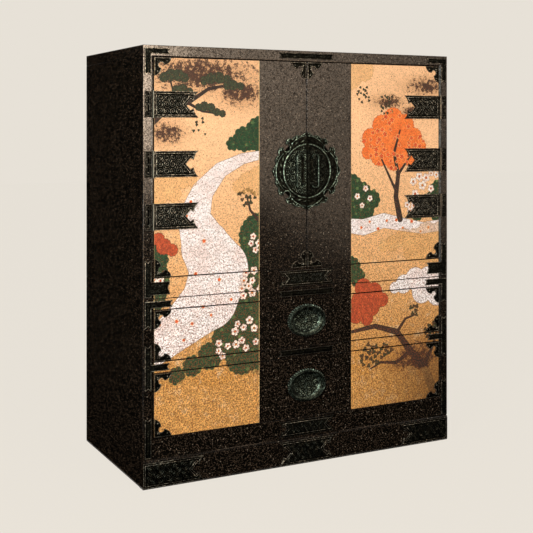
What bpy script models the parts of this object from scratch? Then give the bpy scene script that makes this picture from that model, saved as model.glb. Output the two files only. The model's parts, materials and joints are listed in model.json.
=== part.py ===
"""Two-tier lacquered storage chest: double doors above, two drawers below, on a plinth.

Metres, +Z up. The front faces -Y, and the origin is at the middle of the floor under the chest.
"""
import math

import bmesh
import bpy
from mathutils import Matrix, Vector

# Case, in metres. Heights run from the floor up.
WIDTH = 0.910
DEPTH = 0.450
BASE_HEIGHT = 0.070
BOTTOM_RAIL = 0.052
LOWER_OPENING = 0.158
MIDDLE_RAIL = 0.027
UPPER_OPENING = 0.127
LOWER_TOP = 0.027
SILL = 0.051
DOOR_OPENING = 0.540
UPPER_TOP = 0.028

# Boards
SIDE = 0.027
BACK_PANEL = 0.012
CASE_FLOOR = 0.015
DUST_BOARD = 0.012
RAIL_DEPTH = 0.030
BASE_BOARD = 0.026
BOARD_EDGE = 0.0008
STILE_CHAMFER = 0.005
STILE_CHAMFER_DEPTH = 0.003
TOP_CHAMFER = 0.003
BASE_CHAMFER = 0.004
SHELF = 0.015
SHELF_COUNT = 2
SHELF_SETBACK = 0.010
HOUSING = 0.006

# Fits: boards that touch, moving fronts in their frame, drawer boxes, turning pins
SEAT = 0.0003
FRONT_GAP = 0.001
MEETING_GAP = 0.002
BOX_CLEARANCE = 0.002
PIN_CLEARANCE = 0.0003

# Doors and drawers
DOOR = 0.022
DRAWER_FRONT = 0.022
DRAWER_BOARD = 0.012
DRAWER_BOTTOM = 0.008
DRAWER_REAR_GAP = 0.033
DRAWER_HEADROOM = 0.014
DRAWER_BOTTOM_RISE = 0.005

# Iron plates: thickness, and how far a fused plate is let into its board
PLATE = 0.0016
PLATE_SINK = 0.0006
PLATE_INSET = 0.0006
ARM_MARGIN = 0.0045
ARM_SPARE = 0.0015
FISHTAIL = 0.006
TOP_ARM = 0.014
TOP_ARM_LENGTH = 0.0665
TOP_ARM_DROP = 0.007
TOP_STILE_ARM = 0.045
SILL_ARM = 0.031
SILL_ARM_LENGTH = 0.043
SILL_STILE_REACH = 0.044
LOWER_TOP_ARM = 0.016
LOWER_TOP_ARM_LENGTH = 0.072
LOWER_STILE_ARM = 0.043
MIDDLE_ARM = 0.016
MIDDLE_ARM_LENGTH = 0.041
MIDDLE_STILE_REACH = 0.042
BOTTOM_STILE_REACH = 0.049
CENTRE_PLATE = 0.162
NARROW_CENTRE_HEIGHT = 0.014
WIDE_CENTRE_HEIGHT = 0.040
BASE_PLATE_HEIGHT = 0.060
BASE_CORNER_PLATE = 0.160
BRACKET = 0.044

# Cusped tail of a plate, as shares of the plate's half height
TAIL_CUSP_SET_SHARE = 0.40
TAIL_NECK_SHARE = 0.30
TAIL_SHOULDER_SET_SHARE = 0.66
TAIL_SHOULDER_SHARE = 0.45
TAIL_DEPTH_SHARE = 1.06
TAIL_SCOOP_SHARE = 0.09
TAIL_STEPS = 5

# Scalloped bracket, as shares of its size
BRACKET_CUSP_SHARES = (0.57, 0.39)
BRACKET_LOBE_SHARE = 0.10
BRACKET_NOTCH_SHARE = 0.29
BRACKET_STEPS = 5

# Hinges
HINGE_HEIGHT = 0.064
HINGE_PLATE = 0.0018
STRAP_LENGTH = 0.120
TOP_HINGE_DROP = 0.116
BOTTOM_HINGE_RISE = 0.149
MIDDLE_HINGE_DROP = 0.009
HINGE_AXIS_INSET = 0.002
KNUCKLE_RADIUS = 0.0028
KNUCKLE_LENGTH = 0.022
KNUCKLE_GAP = 0.0004
KNUCKLE_LIP = 0.0003
PIN_RADIUS = 0.0014
PIN_HEAD_RADIUS = 0.0024
PIN_HEAD = 0.0014
ROUND_SIDES = 12

# Lock plate and bail pulls
LOCK_DROP = 0.0165
LOCK_PLATE = 0.0025
LOCK_APEX = 0.102
LOCK_CUSP = 0.0940
LOCK_LOBES = (0.0045, 0.0075)
LOCK_LOBE_ENDS = (12, 27, 42)
LOCK_LOBE_STEPS = 5
LOCK_NOTCH_RADIUS = 0.0095
LOCK_NOTCH_REACH = 0.086
LOCK_RING = 0.070
LOCK_RING_WIDTH = 0.007
LOCK_RING_HEIGHT = 0.0015
LOCK_RING_STEPS = 64
BAIL_AXIS = 0.014
BAIL_REACH = 0.018
BAIL_HALF_LENGTH = 0.043
BAIL_ROD = 0.0018
BAIL_BEND = 0.006
BAIL_BEND_STEPS = 4
EYE_RISE = 0.034
EYE_LENGTH = 0.006
EYE_RADIUS = 0.0034
EYE_SINK = 0.0002
SEAT_STRIP = 0.0012
SEAT_STRIP_WIDTH = 0.008
SEAT_STRIP_OVERHANG = 0.005
SEAT_STRIP_STEPS = 8

# Drawer pulls: an oval pan let into the front, and a ring on a staple over its flange
PULL_RISE = 0.0035
PAN_HALF_WIDTH = 0.0565
PAN_HALF_HEIGHT = 0.0425
PAN_FLANGE = 0.0115
PAN_FLANGE_THICKNESS = 0.0022
PAN_DISH = 0.0085
PAN_WALL = 0.0015
PAN_STEPS = 40
PAN_DISH_RINGS = 5
POCKET_CLEARANCE = 0.0006
RING_ROD = 0.003
RING_INSET = 0.006
RING_LIFT = 0.0005
RING_POINTS = 40
STAPLE_ROD = 0.0014
STAPLE_CLEARANCE = 0.0005
STAPLE_STEPS = 8
STAPLE_FOOT = 0.0012

# Mesh: welding distances, and the angle under which a rounded piece is shaded smooth
WELD = 1e-7
AXIS_WELD = 1e-6
SMOOTH_DEGREES = 40

# Worked out from the above
LOWER_DRAWER_Z = BASE_HEIGHT + BOTTOM_RAIL
MIDDLE_RAIL_Z = LOWER_DRAWER_Z + LOWER_OPENING
UPPER_DRAWER_Z = MIDDLE_RAIL_Z + MIDDLE_RAIL
LOWER_TOP_Z = UPPER_DRAWER_Z + UPPER_OPENING
UPPER_CASE_Z = LOWER_TOP_Z + LOWER_TOP
DOOR_Z = UPPER_CASE_Z + SILL
UPPER_TOP_Z = DOOR_Z + DOOR_OPENING
HEIGHT = UPPER_TOP_Z + UPPER_TOP

RING_PROUD = SEAT + PAN_FLANGE_THICKNESS + RING_LIFT + RING_ROD
STAPLE_RADIUS = RING_ROD + STAPLE_CLEARANCE + STAPLE_ROD
BAIL_PROUD = SEAT + LOCK_PLATE + SEAT + SEAT_STRIP + EYE_RADIUS - EYE_SINK
PROJECTION = max(RING_PROUD + STAPLE_RADIUS + STAPLE_ROD, BAIL_PROUD + EYE_RADIUS)

# The pulls stand proud of the front, so the cases sit half of that behind the origin.
FRONT = (PROJECTION - DEPTH) / 2
BACK = FRONT + DEPTH
INSIDE = WIDTH / 2 - SIDE
INSIDE_BACK = BACK - BACK_PANEL
HINGE_X = -INSIDE - HINGE_AXIS_INSET
HINGE_PROUD = KNUCKLE_RADIUS + 2 * SEAT
DOOR_EDGE = -INSIDE + FRONT_GAP
DOOR_TOP = UPPER_TOP_Z - FRONT_GAP
DOOR_BOTTOM = DOOR_Z + FRONT_GAP
LOCK_Z = DOOR_Z + DOOR_OPENING / 2 - LOCK_DROP
ARM_OUTER = -WIDTH / 2 + ARM_MARGIN
ARM_INNER = -INSIDE - STILE_CHAMFER - ARM_SPARE

BLACK_LACQUER = ("black_lacquer", (0.020, 0.017, 0.014), 0.35, 0.0)
BARE_WOOD = ("paulownia_wood", (0.52, 0.38, 0.23), 0.60, 0.0)
BLACK_IRON = ("blackened_iron", (0.030, 0.036, 0.034), 0.45, 1.0)


def clear_scene():
    """Remove every object of the scene."""
    for item in list(bpy.data.objects):
        bpy.data.objects.remove(item, do_unlink=True)


def collection(name):
    """Add a collection to the scene."""
    group = bpy.data.collections.new(name)
    bpy.context.scene.collection.children.link(group)
    return group


def finish(name, colour, roughness, metallic):
    """Find or make the Principled material of that name."""
    found = bpy.data.materials.get(name)
    if found:
        return found
    made = bpy.data.materials.new(name)
    made.use_nodes = True
    shader = made.node_tree.nodes["Principled BSDF"]
    shader.inputs["Base Color"].default_value = (*colour, 1.0)
    shader.inputs["Roughness"].default_value = roughness
    shader.inputs["Metallic"].default_value = metallic
    return made


def evaluated_mesh(item):
    """Take the mesh that an object evaluates to, welded, and remove the object."""
    graph = bpy.context.evaluated_depsgraph_get()
    mesh = bpy.data.meshes.new_from_object(item.evaluated_get(graph))
    mesh.transform(item.matrix_world)
    source = item.data
    bpy.data.objects.remove(item, do_unlink=True)
    if source.users == 0:
        bpy.data.batch_remove([source])
    work = bmesh.new()
    work.from_mesh(mesh)
    bmesh.ops.remove_doubles(work, verts=work.verts, dist=WELD)
    bmesh.ops.recalc_face_normals(work, faces=work.faces)
    work.to_mesh(mesh)
    work.free()
    return mesh


def box(low, high, edge=BOARD_EDGE):
    """Box between two corners, with its edges broken by a small bevel."""
    work = bmesh.new()
    bmesh.ops.create_cube(work, size=1)
    size = [b - a for a, b in zip(low, high)]
    centre = [(a + b) / 2 for a, b in zip(low, high)]
    bmesh.ops.scale(work, vec=size, verts=work.verts)
    bmesh.ops.translate(work, vec=centre, verts=work.verts)
    if edge:
        bmesh.ops.bevel(work, geom=work.edges[:], offset=edge, segments=1, affect="EDGES")
    mesh = bpy.data.meshes.new("box")
    work.to_mesh(mesh)
    work.free()
    return mesh


def upright(radius, x, y, low, high, sides=ROUND_SIDES):
    """Cylinder that stands along Z."""
    work = bmesh.new()
    bmesh.ops.create_cone(work, cap_ends=True, segments=sides, radius1=radius, radius2=radius,
                          depth=high - low)
    bmesh.ops.translate(work, vec=(x, y, (low + high) / 2), verts=work.verts)
    mesh = bpy.data.meshes.new("upright")
    work.to_mesh(mesh)
    work.free()
    return mesh


def slab(outline, thickness):
    """Flat outline in x and y, extruded through its thickness and centred on z = 0."""
    curve = bpy.data.curves.new("outline", "CURVE")
    curve.dimensions = "2D"
    curve.fill_mode = "BOTH"
    curve.extrude = thickness / 2
    spline = curve.splines.new("POLY")
    spline.points.add(len(outline) - 1)
    for point, (x, y) in zip(spline.points, outline):
        point.co = (x, y, 0, 1)
    spline.use_cyclic_u = True
    holder = bpy.data.objects.new("outline", curve)
    HELPERS.objects.link(holder)
    return evaluated_mesh(holder)


def plate(outline, proud_from, proud_to):
    """Plate on the front: an outline in x and z, between two distances proud of the front face."""
    mesh = slab(outline, proud_to - proud_from)
    middle = FRONT - (proud_from + proud_to) / 2
    mesh.transform(Matrix.Translation((0, middle, 0)) @ Matrix.Rotation(math.pi / 2, 4, "X"))
    return mesh


def relief(outline):
    """Iron plate of the front that is let a little into the board that carries it."""
    return plate(outline, -PLATE_SINK, PLATE)


def rod(points, radius, cyclic=False, resolution=2):
    """Round rod along a run of points, with filled ends."""
    curve = bpy.data.curves.new("rod", "CURVE")
    curve.dimensions = "3D"
    curve.bevel_depth = radius
    curve.bevel_resolution = resolution
    curve.use_fill_caps = not cyclic
    spline = curve.splines.new("POLY")
    spline.points.add(len(points) - 1)
    for point, place in zip(spline.points, points):
        point.co = (*place, 1)
    spline.use_cyclic_u = cyclic
    holder = bpy.data.objects.new("rod", curve)
    HELPERS.objects.link(holder)
    return evaluated_mesh(holder)


def turned(profile, steps):
    """Profile of (radius, height) points, top to bottom along its outer side, turned about Z."""
    mesh = bpy.data.meshes.new("profile")
    edges = [(i, i + 1) for i in range(len(profile) - 1)]
    mesh.from_pydata([(r, 0, h) for r, h in profile], edges, [])
    holder = bpy.data.objects.new("profile", mesh)
    HELPERS.objects.link(holder)
    screw = holder.modifiers.new("turn", "SCREW")
    screw.steps = steps
    screw.render_steps = steps
    screw.use_merge_vertices = True
    screw.merge_threshold = AXIS_WELD
    return evaluated_mesh(holder)


def boolean(mesh, other, operation):
    """Join a mesh with another, or cut the other out of it. Both inputs are used up."""
    holder = bpy.data.objects.new("work", mesh)
    tool = bpy.data.objects.new("tool", other)
    for item in (holder, tool):
        HELPERS.objects.link(item)
    tool.hide_render = True
    tool.display_type = "WIRE"
    step = holder.modifiers.new("step", "BOOLEAN")
    step.operation = operation
    step.object = tool
    result = evaluated_mesh(holder)
    bpy.data.objects.remove(tool, do_unlink=True)
    return result


def union(mesh, *others):
    """Join meshes into one body."""
    for other in others:
        mesh = boolean(mesh, other, "UNION")
    return mesh


def cut(mesh, *others):
    """Cut meshes out of a body."""
    for other in others:
        mesh = boolean(mesh, other, "DIFFERENCE")
    return mesh


def mirrored(mesh):
    """Copy of a mesh on the other side of the chest."""
    copy = mesh.copy()
    copy.transform(Matrix.Scale(-1, 4, (1, 0, 0)))
    copy.flip_normals()
    return copy


def raised(mesh, rise):
    """Copy of a mesh, moved up."""
    copy = mesh.copy()
    copy.transform(Matrix.Translation((0, 0, rise)))
    return copy


def world_place(empty):
    """Place of an empty in the world, or the origin where there is none."""
    return empty.matrix_world.translation if empty else Vector((0, 0, 0))


def pivot(name, place, parent=None):
    """Empty that carries a moving body, on the axis of its joint."""
    empty = bpy.data.objects.new(name, None)
    CHEST.objects.link(empty)
    empty.parent = parent
    empty.location = Vector(place) - world_place(parent)
    bpy.context.view_layer.update()
    return empty


def part(name, mesh, look, body=None, smooth=False):
    """Named piece of the chest, hung from the empty of the body that it moves with."""
    mesh.transform(Matrix.Translation(-world_place(body)))
    mesh.name = name
    mesh.materials.clear()
    mesh.materials.append(finish(*look))
    if smooth:
        mesh.shade_smooth()
        mesh.set_sharp_from_angle(angle=math.radians(SMOOTH_DEGREES))
    item = bpy.data.objects.new(name, mesh)
    CHEST.objects.link(item)
    item.parent = body
    return item


def arc(start, end, bulge, steps):
    """Points of the circular arc from start to end, without start; a positive bulge is on its left."""
    dx, dy = end[0] - start[0], end[1] - start[1]
    chord = math.hypot(dx, dy)
    radius = (chord * chord / 4 + bulge * bulge) / (2 * bulge)
    away = bulge - radius
    cx = (start[0] + end[0]) / 2 - dy / chord * away
    cy = (start[1] + end[1]) / 2 + dx / chord * away
    sweep = -4 * math.atan(2 * bulge / chord)
    points = []
    for i in range(1, steps + 1):
        turn = sweep * i / steps
        ax, ay = start[0] - cx, start[1] - cy
        points.append((cx + ax * math.cos(turn) - ay * math.sin(turn),
                       cy + ax * math.sin(turn) + ay * math.cos(turn)))
    return points


def shifted(outline, x, z):
    """Outline moved over the front."""
    return [(a + x, b + z) for a, b in outline]


def flipped(outline):
    """Outline mirrored left to right, in the same winding."""
    return [(-x, z) for x, z in reversed(outline)]


def upended(outline):
    """Outline mirrored top to bottom, in the same winding."""
    return [(x, -z) for x, z in reversed(outline)]


def cusped_tail(half):
    """Swallow-tail end with a lozenge notch, from the lower horn at (0, -half) up to the other horn."""
    horn = (0, -half)
    cusp = (-TAIL_CUSP_SET_SHARE * half, -TAIL_NECK_SHARE * half)
    shoulder = (-TAIL_SHOULDER_SET_SHARE * half, -TAIL_SHOULDER_SHARE * half)
    lower = [horn] + arc(horn, cusp, TAIL_SCOOP_SHARE * half, TAIL_STEPS) + [shoulder]
    return lower + [(-TAIL_DEPTH_SHARE * half, 0)] + [(x, -z) for x, z in reversed(lower)]


def fishtail(half):
    """Plain notched end, from the lower point at (0, -half) up."""
    return [(0, -half), (-FISHTAIL, 0), (0, half)]


def centre_plate(height, tail, z):
    """Plate in the middle of a rail, with the same tail at both ends."""
    right = shifted(tail(height / 2), CENTRE_PLATE / 2, z)
    return relief(right + flipped(right))


def end_plate(left, right, height, tail, z):
    """Plate that runs from the left to a tail at its right end."""
    return [(left, z + height / 2), (left, z - height / 2)] + shifted(tail(height / 2), right, z)


def bracket():
    """Scalloped corner bracket of a top left corner at (0, 0): two lobes beside a round notch."""
    far, near = (BRACKET * share for share in BRACKET_CUSP_SHARES)
    tip, cusp, other_cusp, end = (0, -BRACKET), (near, -far), (far, -near), (BRACKET, 0)
    lobe = BRACKET_LOBE_SHARE * BRACKET
    outline = [(0, 0), tip] + arc(tip, cusp, -lobe, BRACKET_STEPS)
    outline += arc(cusp, other_cusp, BRACKET_NOTCH_SHARE * BRACKET, 2 * BRACKET_STEPS)
    return outline + arc(other_cusp, end, -lobe, BRACKET_STEPS)


def corner_brackets(left, right, bottom, top):
    """Brackets on the four corners of a front, inside the broken edges of its board."""
    inset = BOARD_EDGE + PLATE_INSET
    upper = shifted(bracket(), left + inset, top - inset)
    lower = shifted(upended(bracket()), left + inset, bottom + inset)
    over = left + right
    outlines = [upper, lower, shifted(flipped(upper), over, 0), shifted(flipped(lower), over, 0)]
    return [relief(outline) for outline in outlines]


def stile_arm(bottom, top, bottom_tail, top_tail, tab=None):
    """Upright plate of the left stile; a tab from one height to another runs to the stile's inner edge."""
    low = [(ARM_OUTER, bottom)]
    middle = (ARM_OUTER + ARM_INNER) / 2
    if bottom_tail:
        low.append((middle, bottom + FISHTAIL))
    low.append((ARM_INNER, bottom))
    side = []
    if tab:
        edge = -INSIDE - PLATE_INSET - STILE_CHAMFER
        side = [(ARM_INNER, tab[0]), (edge, tab[0]), (edge, tab[1]), (ARM_INNER, tab[1])]
    high = [(ARM_INNER, top)]
    if top_tail:
        high.append((middle, top - FISHTAIL))
    high.append((ARM_OUTER, top))
    return low + side + high


def top_corner(board_bottom, arm_bottom, arm, length):
    """Left corner plate on a top board: an arm along the board and a stub down over the stile."""
    foot = board_bottom + PLATE_INSET
    stub = [(ARM_OUTER, foot), (ARM_INNER, foot), (ARM_INNER, arm_bottom)]
    run = shifted(fishtail(arm / 2), ARM_OUTER + length, arm_bottom + arm / 2)
    return stub + run + [(ARM_OUTER, arm_bottom + arm)]


def both_sides(outline):
    """A plate of the left side and its mirror image."""
    return [relief(outline), relief(flipped(outline))]


def wedge(width, depth, low, high):
    """Cutter that chamfers the inner front edge of the left stile."""
    outline = [(-INSIDE - width, FRONT), (-INSIDE, FRONT + depth), (-INSIDE + width, FRONT + depth),
               (-INSIDE + width, FRONT - depth), (-INSIDE - width, FRONT - depth)]
    mesh = slab(outline, high - low)
    mesh.transform(Matrix.Translation((0, 0, (low + high) / 2)))
    return mesh


def lengthwise(section, half_length):
    """Prism along X from a section of (y, z) points."""
    mesh = slab(section, 2 * half_length)
    mesh.transform(Matrix(((0, 0, 1, 0), (1, 0, 0, 0), (0, 1, 0, 0), (0, 0, 0, 1))))
    return mesh


def sides_of(name, mesh):
    """A case side on the left, and its mirror image on the right."""
    part(f"{name}_right_side", mirrored(mesh), BLACK_LACQUER)
    part(f"{name}_left_side", mesh, BLACK_LACQUER)


def shelf_levels():
    """Heights of the undersides of the shelves, evenly spaced behind the doors."""
    pitch = (DOOR_OPENING - SHELF_COUNT * SHELF) / (SHELF_COUNT + 1)
    return [DOOR_Z + pitch + i * (pitch + SHELF) for i in range(SHELF_COUNT)]


def upper_case():
    """Upper case: sides with shelf housings, top, sill, floor, back and shelves."""
    low, high = UPPER_CASE_Z + SEAT, UPPER_TOP_Z - SEAT
    side = box((-WIDTH / 2, FRONT, low), (-INSIDE, BACK, high))
    side = cut(side, wedge(STILE_CHAMFER, STILE_CHAMFER_DEPTH, low - SEAT, high + SEAT))
    shelf_front = FRONT + DOOR + SHELF_SETBACK
    for level in shelf_levels():
        side = cut(side, box((-INSIDE - HOUSING, shelf_front - SEAT, level - SEAT),
                             (-INSIDE + HOUSING, INSIDE_BACK, level + SHELF + SEAT), 0))
    tab_middle = UPPER_CASE_Z + SILL / 2
    tab = (tab_middle - SILL_ARM / 2, tab_middle + SILL_ARM / 2)
    arms = [stile_arm(high - PLATE_INSET - TOP_STILE_ARM, high - PLATE_INSET, True, False),
            stile_arm(low + ARM_MARGIN, DOOR_Z + SILL_STILE_REACH, False, True, tab)]
    sides_of("upper", union(side, *[relief(arm) for arm in arms]))

    top = box((-WIDTH / 2, FRONT, UPPER_TOP_Z), (WIDTH / 2, BACK, HEIGHT))
    near, far = FRONT - TOP_CHAMFER, FRONT + TOP_CHAMFER
    below, above = UPPER_TOP_Z - TOP_CHAMFER, UPPER_TOP_Z + TOP_CHAMFER
    section = [(near, below), (far, below), (far, UPPER_TOP_Z), (FRONT, above), (near, above)]
    top = cut(top, lengthwise(section, INSIDE + STILE_CHAMFER))
    arm_bottom = HEIGHT - TOP_ARM_DROP - TOP_ARM
    corner = top_corner(UPPER_TOP_Z, arm_bottom, TOP_ARM, TOP_ARM_LENGTH)
    centre = centre_plate(NARROW_CENTRE_HEIGHT, fishtail, arm_bottom + TOP_ARM / 2)
    part("upper_top", union(top, *both_sides(corner), centre), BLACK_LACQUER)

    inside = INSIDE - SEAT
    sill = box((-inside, FRONT, UPPER_CASE_Z + SEAT), (inside, FRONT + RAIL_DEPTH, DOOR_Z))
    end = end_plate(-inside + PLATE_INSET, -inside + SILL_ARM_LENGTH, SILL_ARM, fishtail, tab_middle)
    centre = centre_plate(WIDE_CENTRE_HEIGHT, cusped_tail, tab_middle)
    part("upper_sill", union(sill, *both_sides(end), centre), BLACK_LACQUER)
    part("upper_floor", box((-inside, FRONT + RAIL_DEPTH + SEAT, DOOR_Z - CASE_FLOOR),
                            (inside, INSIDE_BACK - SEAT, DOOR_Z)), BARE_WOOD)
    part("upper_back", box((-inside, INSIDE_BACK, low), (inside, BACK, high)), BLACK_LACQUER)
    reach = INSIDE + HOUSING - SEAT
    for number, level in enumerate(shelf_levels(), 1):
        board = box((-reach, shelf_front, level), (reach, INSIDE_BACK - SEAT, level + SHELF))
        part(f"shelf_{number}", board, BARE_WOOD)


def lower_case():
    """Lower case: sides, top, the rails above, between and below the drawers, boards and back."""
    low, high = BASE_HEIGHT + SEAT, LOWER_TOP_Z - SEAT
    side = box((-WIDTH / 2, FRONT, low), (-INSIDE, BACK, high))
    side = cut(side, wedge(STILE_CHAMFER, STILE_CHAMFER_DEPTH, low - SEAT, high + SEAT))
    rail_middle = MIDDLE_RAIL_Z + MIDDLE_RAIL / 2
    tab = (rail_middle - MIDDLE_ARM / 2, rail_middle + MIDDLE_ARM / 2)
    arms = [stile_arm(high - PLATE_INSET - LOWER_STILE_ARM, high - PLATE_INSET, True, False),
            stile_arm(MIDDLE_RAIL_Z - MIDDLE_STILE_REACH, UPPER_DRAWER_Z + MIDDLE_STILE_REACH,
                      True, True, tab),
            stile_arm(low + ARM_MARGIN, LOWER_DRAWER_Z + BOTTOM_STILE_REACH, False, True)]
    sides_of("lower", union(side, *[relief(arm) for arm in arms]))

    top = box((-WIDTH / 2, FRONT, LOWER_TOP_Z), (WIDTH / 2, BACK, UPPER_CASE_Z))
    arm_bottom = LOWER_TOP_Z + (LOWER_TOP - LOWER_TOP_ARM) / 2
    corner = top_corner(LOWER_TOP_Z, arm_bottom, LOWER_TOP_ARM, LOWER_TOP_ARM_LENGTH)
    centre = centre_plate(NARROW_CENTRE_HEIGHT, fishtail, arm_bottom + LOWER_TOP_ARM / 2)
    part("lower_top", union(top, *both_sides(corner), centre), BLACK_LACQUER)

    inside = INSIDE - SEAT
    rail = box((-inside, FRONT, MIDDLE_RAIL_Z), (inside, FRONT + RAIL_DEPTH, UPPER_DRAWER_Z))
    end = end_plate(-inside + PLATE_INSET, -inside + MIDDLE_ARM_LENGTH, MIDDLE_ARM, fishtail, rail_middle)
    centre = centre_plate(NARROW_CENTRE_HEIGHT, fishtail, rail_middle)
    part("middle_rail", union(rail, *both_sides(end), centre), BLACK_LACQUER)
    board_front = FRONT + RAIL_DEPTH + SEAT
    part("dust_board", box((-inside, board_front, UPPER_DRAWER_Z - DUST_BOARD),
                           (inside, INSIDE_BACK - SEAT, UPPER_DRAWER_Z)), BARE_WOOD)

    rail = box((-inside, FRONT, low), (inside, FRONT + RAIL_DEPTH, LOWER_DRAWER_Z))
    centre = centre_plate(WIDE_CENTRE_HEIGHT, cusped_tail, BASE_HEIGHT + BOTTOM_RAIL / 2)
    part("bottom_rail", union(rail, centre), BLACK_LACQUER)
    part("lower_floor", box((-inside, board_front, LOWER_DRAWER_Z - CASE_FLOOR),
                            (inside, INSIDE_BACK - SEAT, LOWER_DRAWER_Z)), BARE_WOOD)
    part("lower_back", box((-inside, INSIDE_BACK, low), (inside, BACK, high)), BLACK_LACQUER)


def base():
    """Plinth of four boards; the front has its top edge chamfered and carries cusped plates."""
    half = WIDTH / 2
    section = [(FRONT, 0), (FRONT + BASE_BOARD, 0), (FRONT + BASE_BOARD, BASE_HEIGHT),
               (FRONT + BASE_CHAMFER, BASE_HEIGHT), (FRONT, BASE_HEIGHT - BASE_CHAMFER)]
    front = lengthwise(section, half)
    middle = (BASE_HEIGHT - BASE_CHAMFER) / 2
    corner = end_plate(-half + PLATE_INSET, -half + BASE_CORNER_PLATE, BASE_PLATE_HEIGHT,
                       cusped_tail, middle)
    centre = centre_plate(BASE_PLATE_HEIGHT, cusped_tail, middle)
    part("base_front", union(front, *both_sides(corner), centre), BLACK_LACQUER)
    part("base_back", box((-half, BACK - BASE_BOARD, 0), (half, BACK, BASE_HEIGHT)), BLACK_LACQUER)
    between = BASE_BOARD + SEAT
    left = box((-half, FRONT + between, 0), (-half + BASE_BOARD, BACK - between, BASE_HEIGHT))
    part("base_right", mirrored(left), BLACK_LACQUER)
    part("base_left", left, BLACK_LACQUER)


def door_mesh():
    """Left door: a flush board with a scalloped bracket on each corner."""
    left, right = DOOR_EDGE, -MEETING_GAP / 2
    board = box((left, FRONT, DOOR_BOTTOM), (right, FRONT + DOOR, DOOR_TOP))
    return union(board, *corner_brackets(left, right, DOOR_BOTTOM, DOOR_TOP))


def hinge_levels():
    """Heights of the middles of a door's three hinges, top to bottom."""
    top = UPPER_TOP_Z - TOP_HINGE_DROP
    bottom = DOOR_Z + BOTTOM_HINGE_RISE
    return [top, (top + bottom) / 2 - MIDDLE_HINGE_DROP, bottom]


def hinge_meshes():
    """Strap, leaf and pin of a left hinge whose middle is at z = 0."""
    half, knuckle = HINGE_HEIGHT / 2, KNUCKLE_LENGTH / 2
    start = KNUCKLE_RADIUS + 2 * KNUCKLE_GAP
    y = FRONT - HINGE_PROUD
    bore = (PIN_RADIUS + PIN_CLEARANCE, HINGE_X, y, -HINGE_HEIGHT, HINGE_HEIGHT)

    tab = knuckle - KNUCKLE_LIP
    outline = [(start, half), (start, tab), (0, tab), (0, -tab), (start, -tab), (start, -half)]
    outline += shifted(cusped_tail(half), STRAP_LENGTH, 0)
    strap = plate(shifted(outline, HINGE_X, 0), SEAT, SEAT + HINGE_PLATE)
    strap = union(strap, upright(KNUCKLE_RADIUS, HINGE_X, y, -knuckle, knuckle))
    strap = cut(strap, upright(*bore))

    outer = ARM_OUTER - HINGE_X
    inner = knuckle + KNUCKLE_GAP
    low, high = inner + KNUCKLE_LIP, half - KNUCKLE_LIP
    upper = [(-start, low), (0, low), (0, high), (-start, high), (-start, half), (outer, half)]
    outline = upper + [(x, -z) for x, z in reversed(upper)]
    leaf = plate(shifted(outline, HINGE_X, 0), SEAT, SEAT + HINGE_PLATE)
    for low, high in ((-half, -inner), (inner, half)):
        leaf = union(leaf, upright(KNUCKLE_RADIUS, HINGE_X, y, low, high))
    leaf = cut(leaf, upright(*bore))

    end = half + SEAT
    top = end + PIN_HEAD
    profile = [(0, top), (PIN_HEAD_RADIUS / 2, top), (PIN_HEAD_RADIUS, (end + top) / 2),
               (PIN_HEAD_RADIUS, end), (PIN_RADIUS, end)]
    profile += [(r, -h) for r, h in reversed(profile)]
    pin = turned(profile, ROUND_SIDES)
    pin.transform(Matrix.Translation((HINGE_X, y, 0)))
    return strap, leaf, pin


def cloud_radius(degrees):
    """Radius of the scalloped lock plate: a pointed apex on each axis, two lobes on each side of it."""
    across = abs((degrees + 45) % 90 - 45)
    first = LOCK_LOBE_ENDS[0]
    if across <= first:
        return LOCK_CUSP + (LOCK_APEX - LOCK_CUSP) * (1 - across / first)
    for low, high, rise in zip(LOCK_LOBE_ENDS, LOCK_LOBE_ENDS[1:], LOCK_LOBES):
        if across <= high:
            return LOCK_CUSP + rise * math.sin(math.pi * (across - low) / (high - low))
    return LOCK_CUSP


def cloud_outline():
    """Outline of the whole lock plate about (0, 0)."""
    quarter = [0.0]
    for low, high in zip(LOCK_LOBE_ENDS, LOCK_LOBE_ENDS[1:]):
        quarter += [low + (high - low) * i / LOCK_LOBE_STEPS for i in range(LOCK_LOBE_STEPS)]
    quarter.append(LOCK_LOBE_ENDS[-1])
    angles = [-a for a in reversed(quarter[1:])] + quarter
    points = []
    for apex in range(0, 360, 90):
        for angle in angles:
            turn = math.radians(apex + angle)
            radius = cloud_radius(angle)
            points.append((radius * math.cos(turn), radius * math.sin(turn)))
    return points


def lock_half():
    """Left half of the lock plate: scalloped, notched on its diagonals, with a raised ring."""
    whole = plate(shifted(cloud_outline(), 0, LOCK_Z), SEAT, SEAT + LOCK_PLATE)
    top = SEAT + LOCK_PLATE + LOCK_RING_HEIGHT
    inner, outer = LOCK_RING - LOCK_RING_WIDTH / 2, LOCK_RING + LOCK_RING_WIDTH / 2
    foot = top - LOCK_RING_HEIGHT - PLATE_SINK
    crown = LOCK_RING_WIDTH / 4
    ring = turned([(inner, foot), (inner + crown, top), (outer - crown, top), (outer, foot), (inner, foot)],
                  LOCK_RING_STEPS)
    ring.transform(Matrix.Translation((0, FRONT, LOCK_Z)) @ Matrix.Rotation(math.pi / 2, 4, "X"))
    whole = union(whole, ring)
    for turn in (135, 225):
        x = LOCK_NOTCH_REACH * math.cos(math.radians(turn))
        z = LOCK_NOTCH_REACH * math.sin(math.radians(turn))
        hole = upright(LOCK_NOTCH_RADIUS, 0, 0, -LOCK_APEX, LOCK_APEX)
        hole.transform(Matrix.Translation((x, FRONT, LOCK_Z + z)) @ Matrix.Rotation(math.pi / 2, 4, "X"))
        whole = cut(whole, hole)
    reach = 2 * LOCK_APEX
    other_half = box((-MEETING_GAP / 2, FRONT - reach, LOCK_Z - reach),
                     (reach, FRONT + reach, LOCK_Z + reach), 0)
    return cut(whole, other_half)


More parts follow.
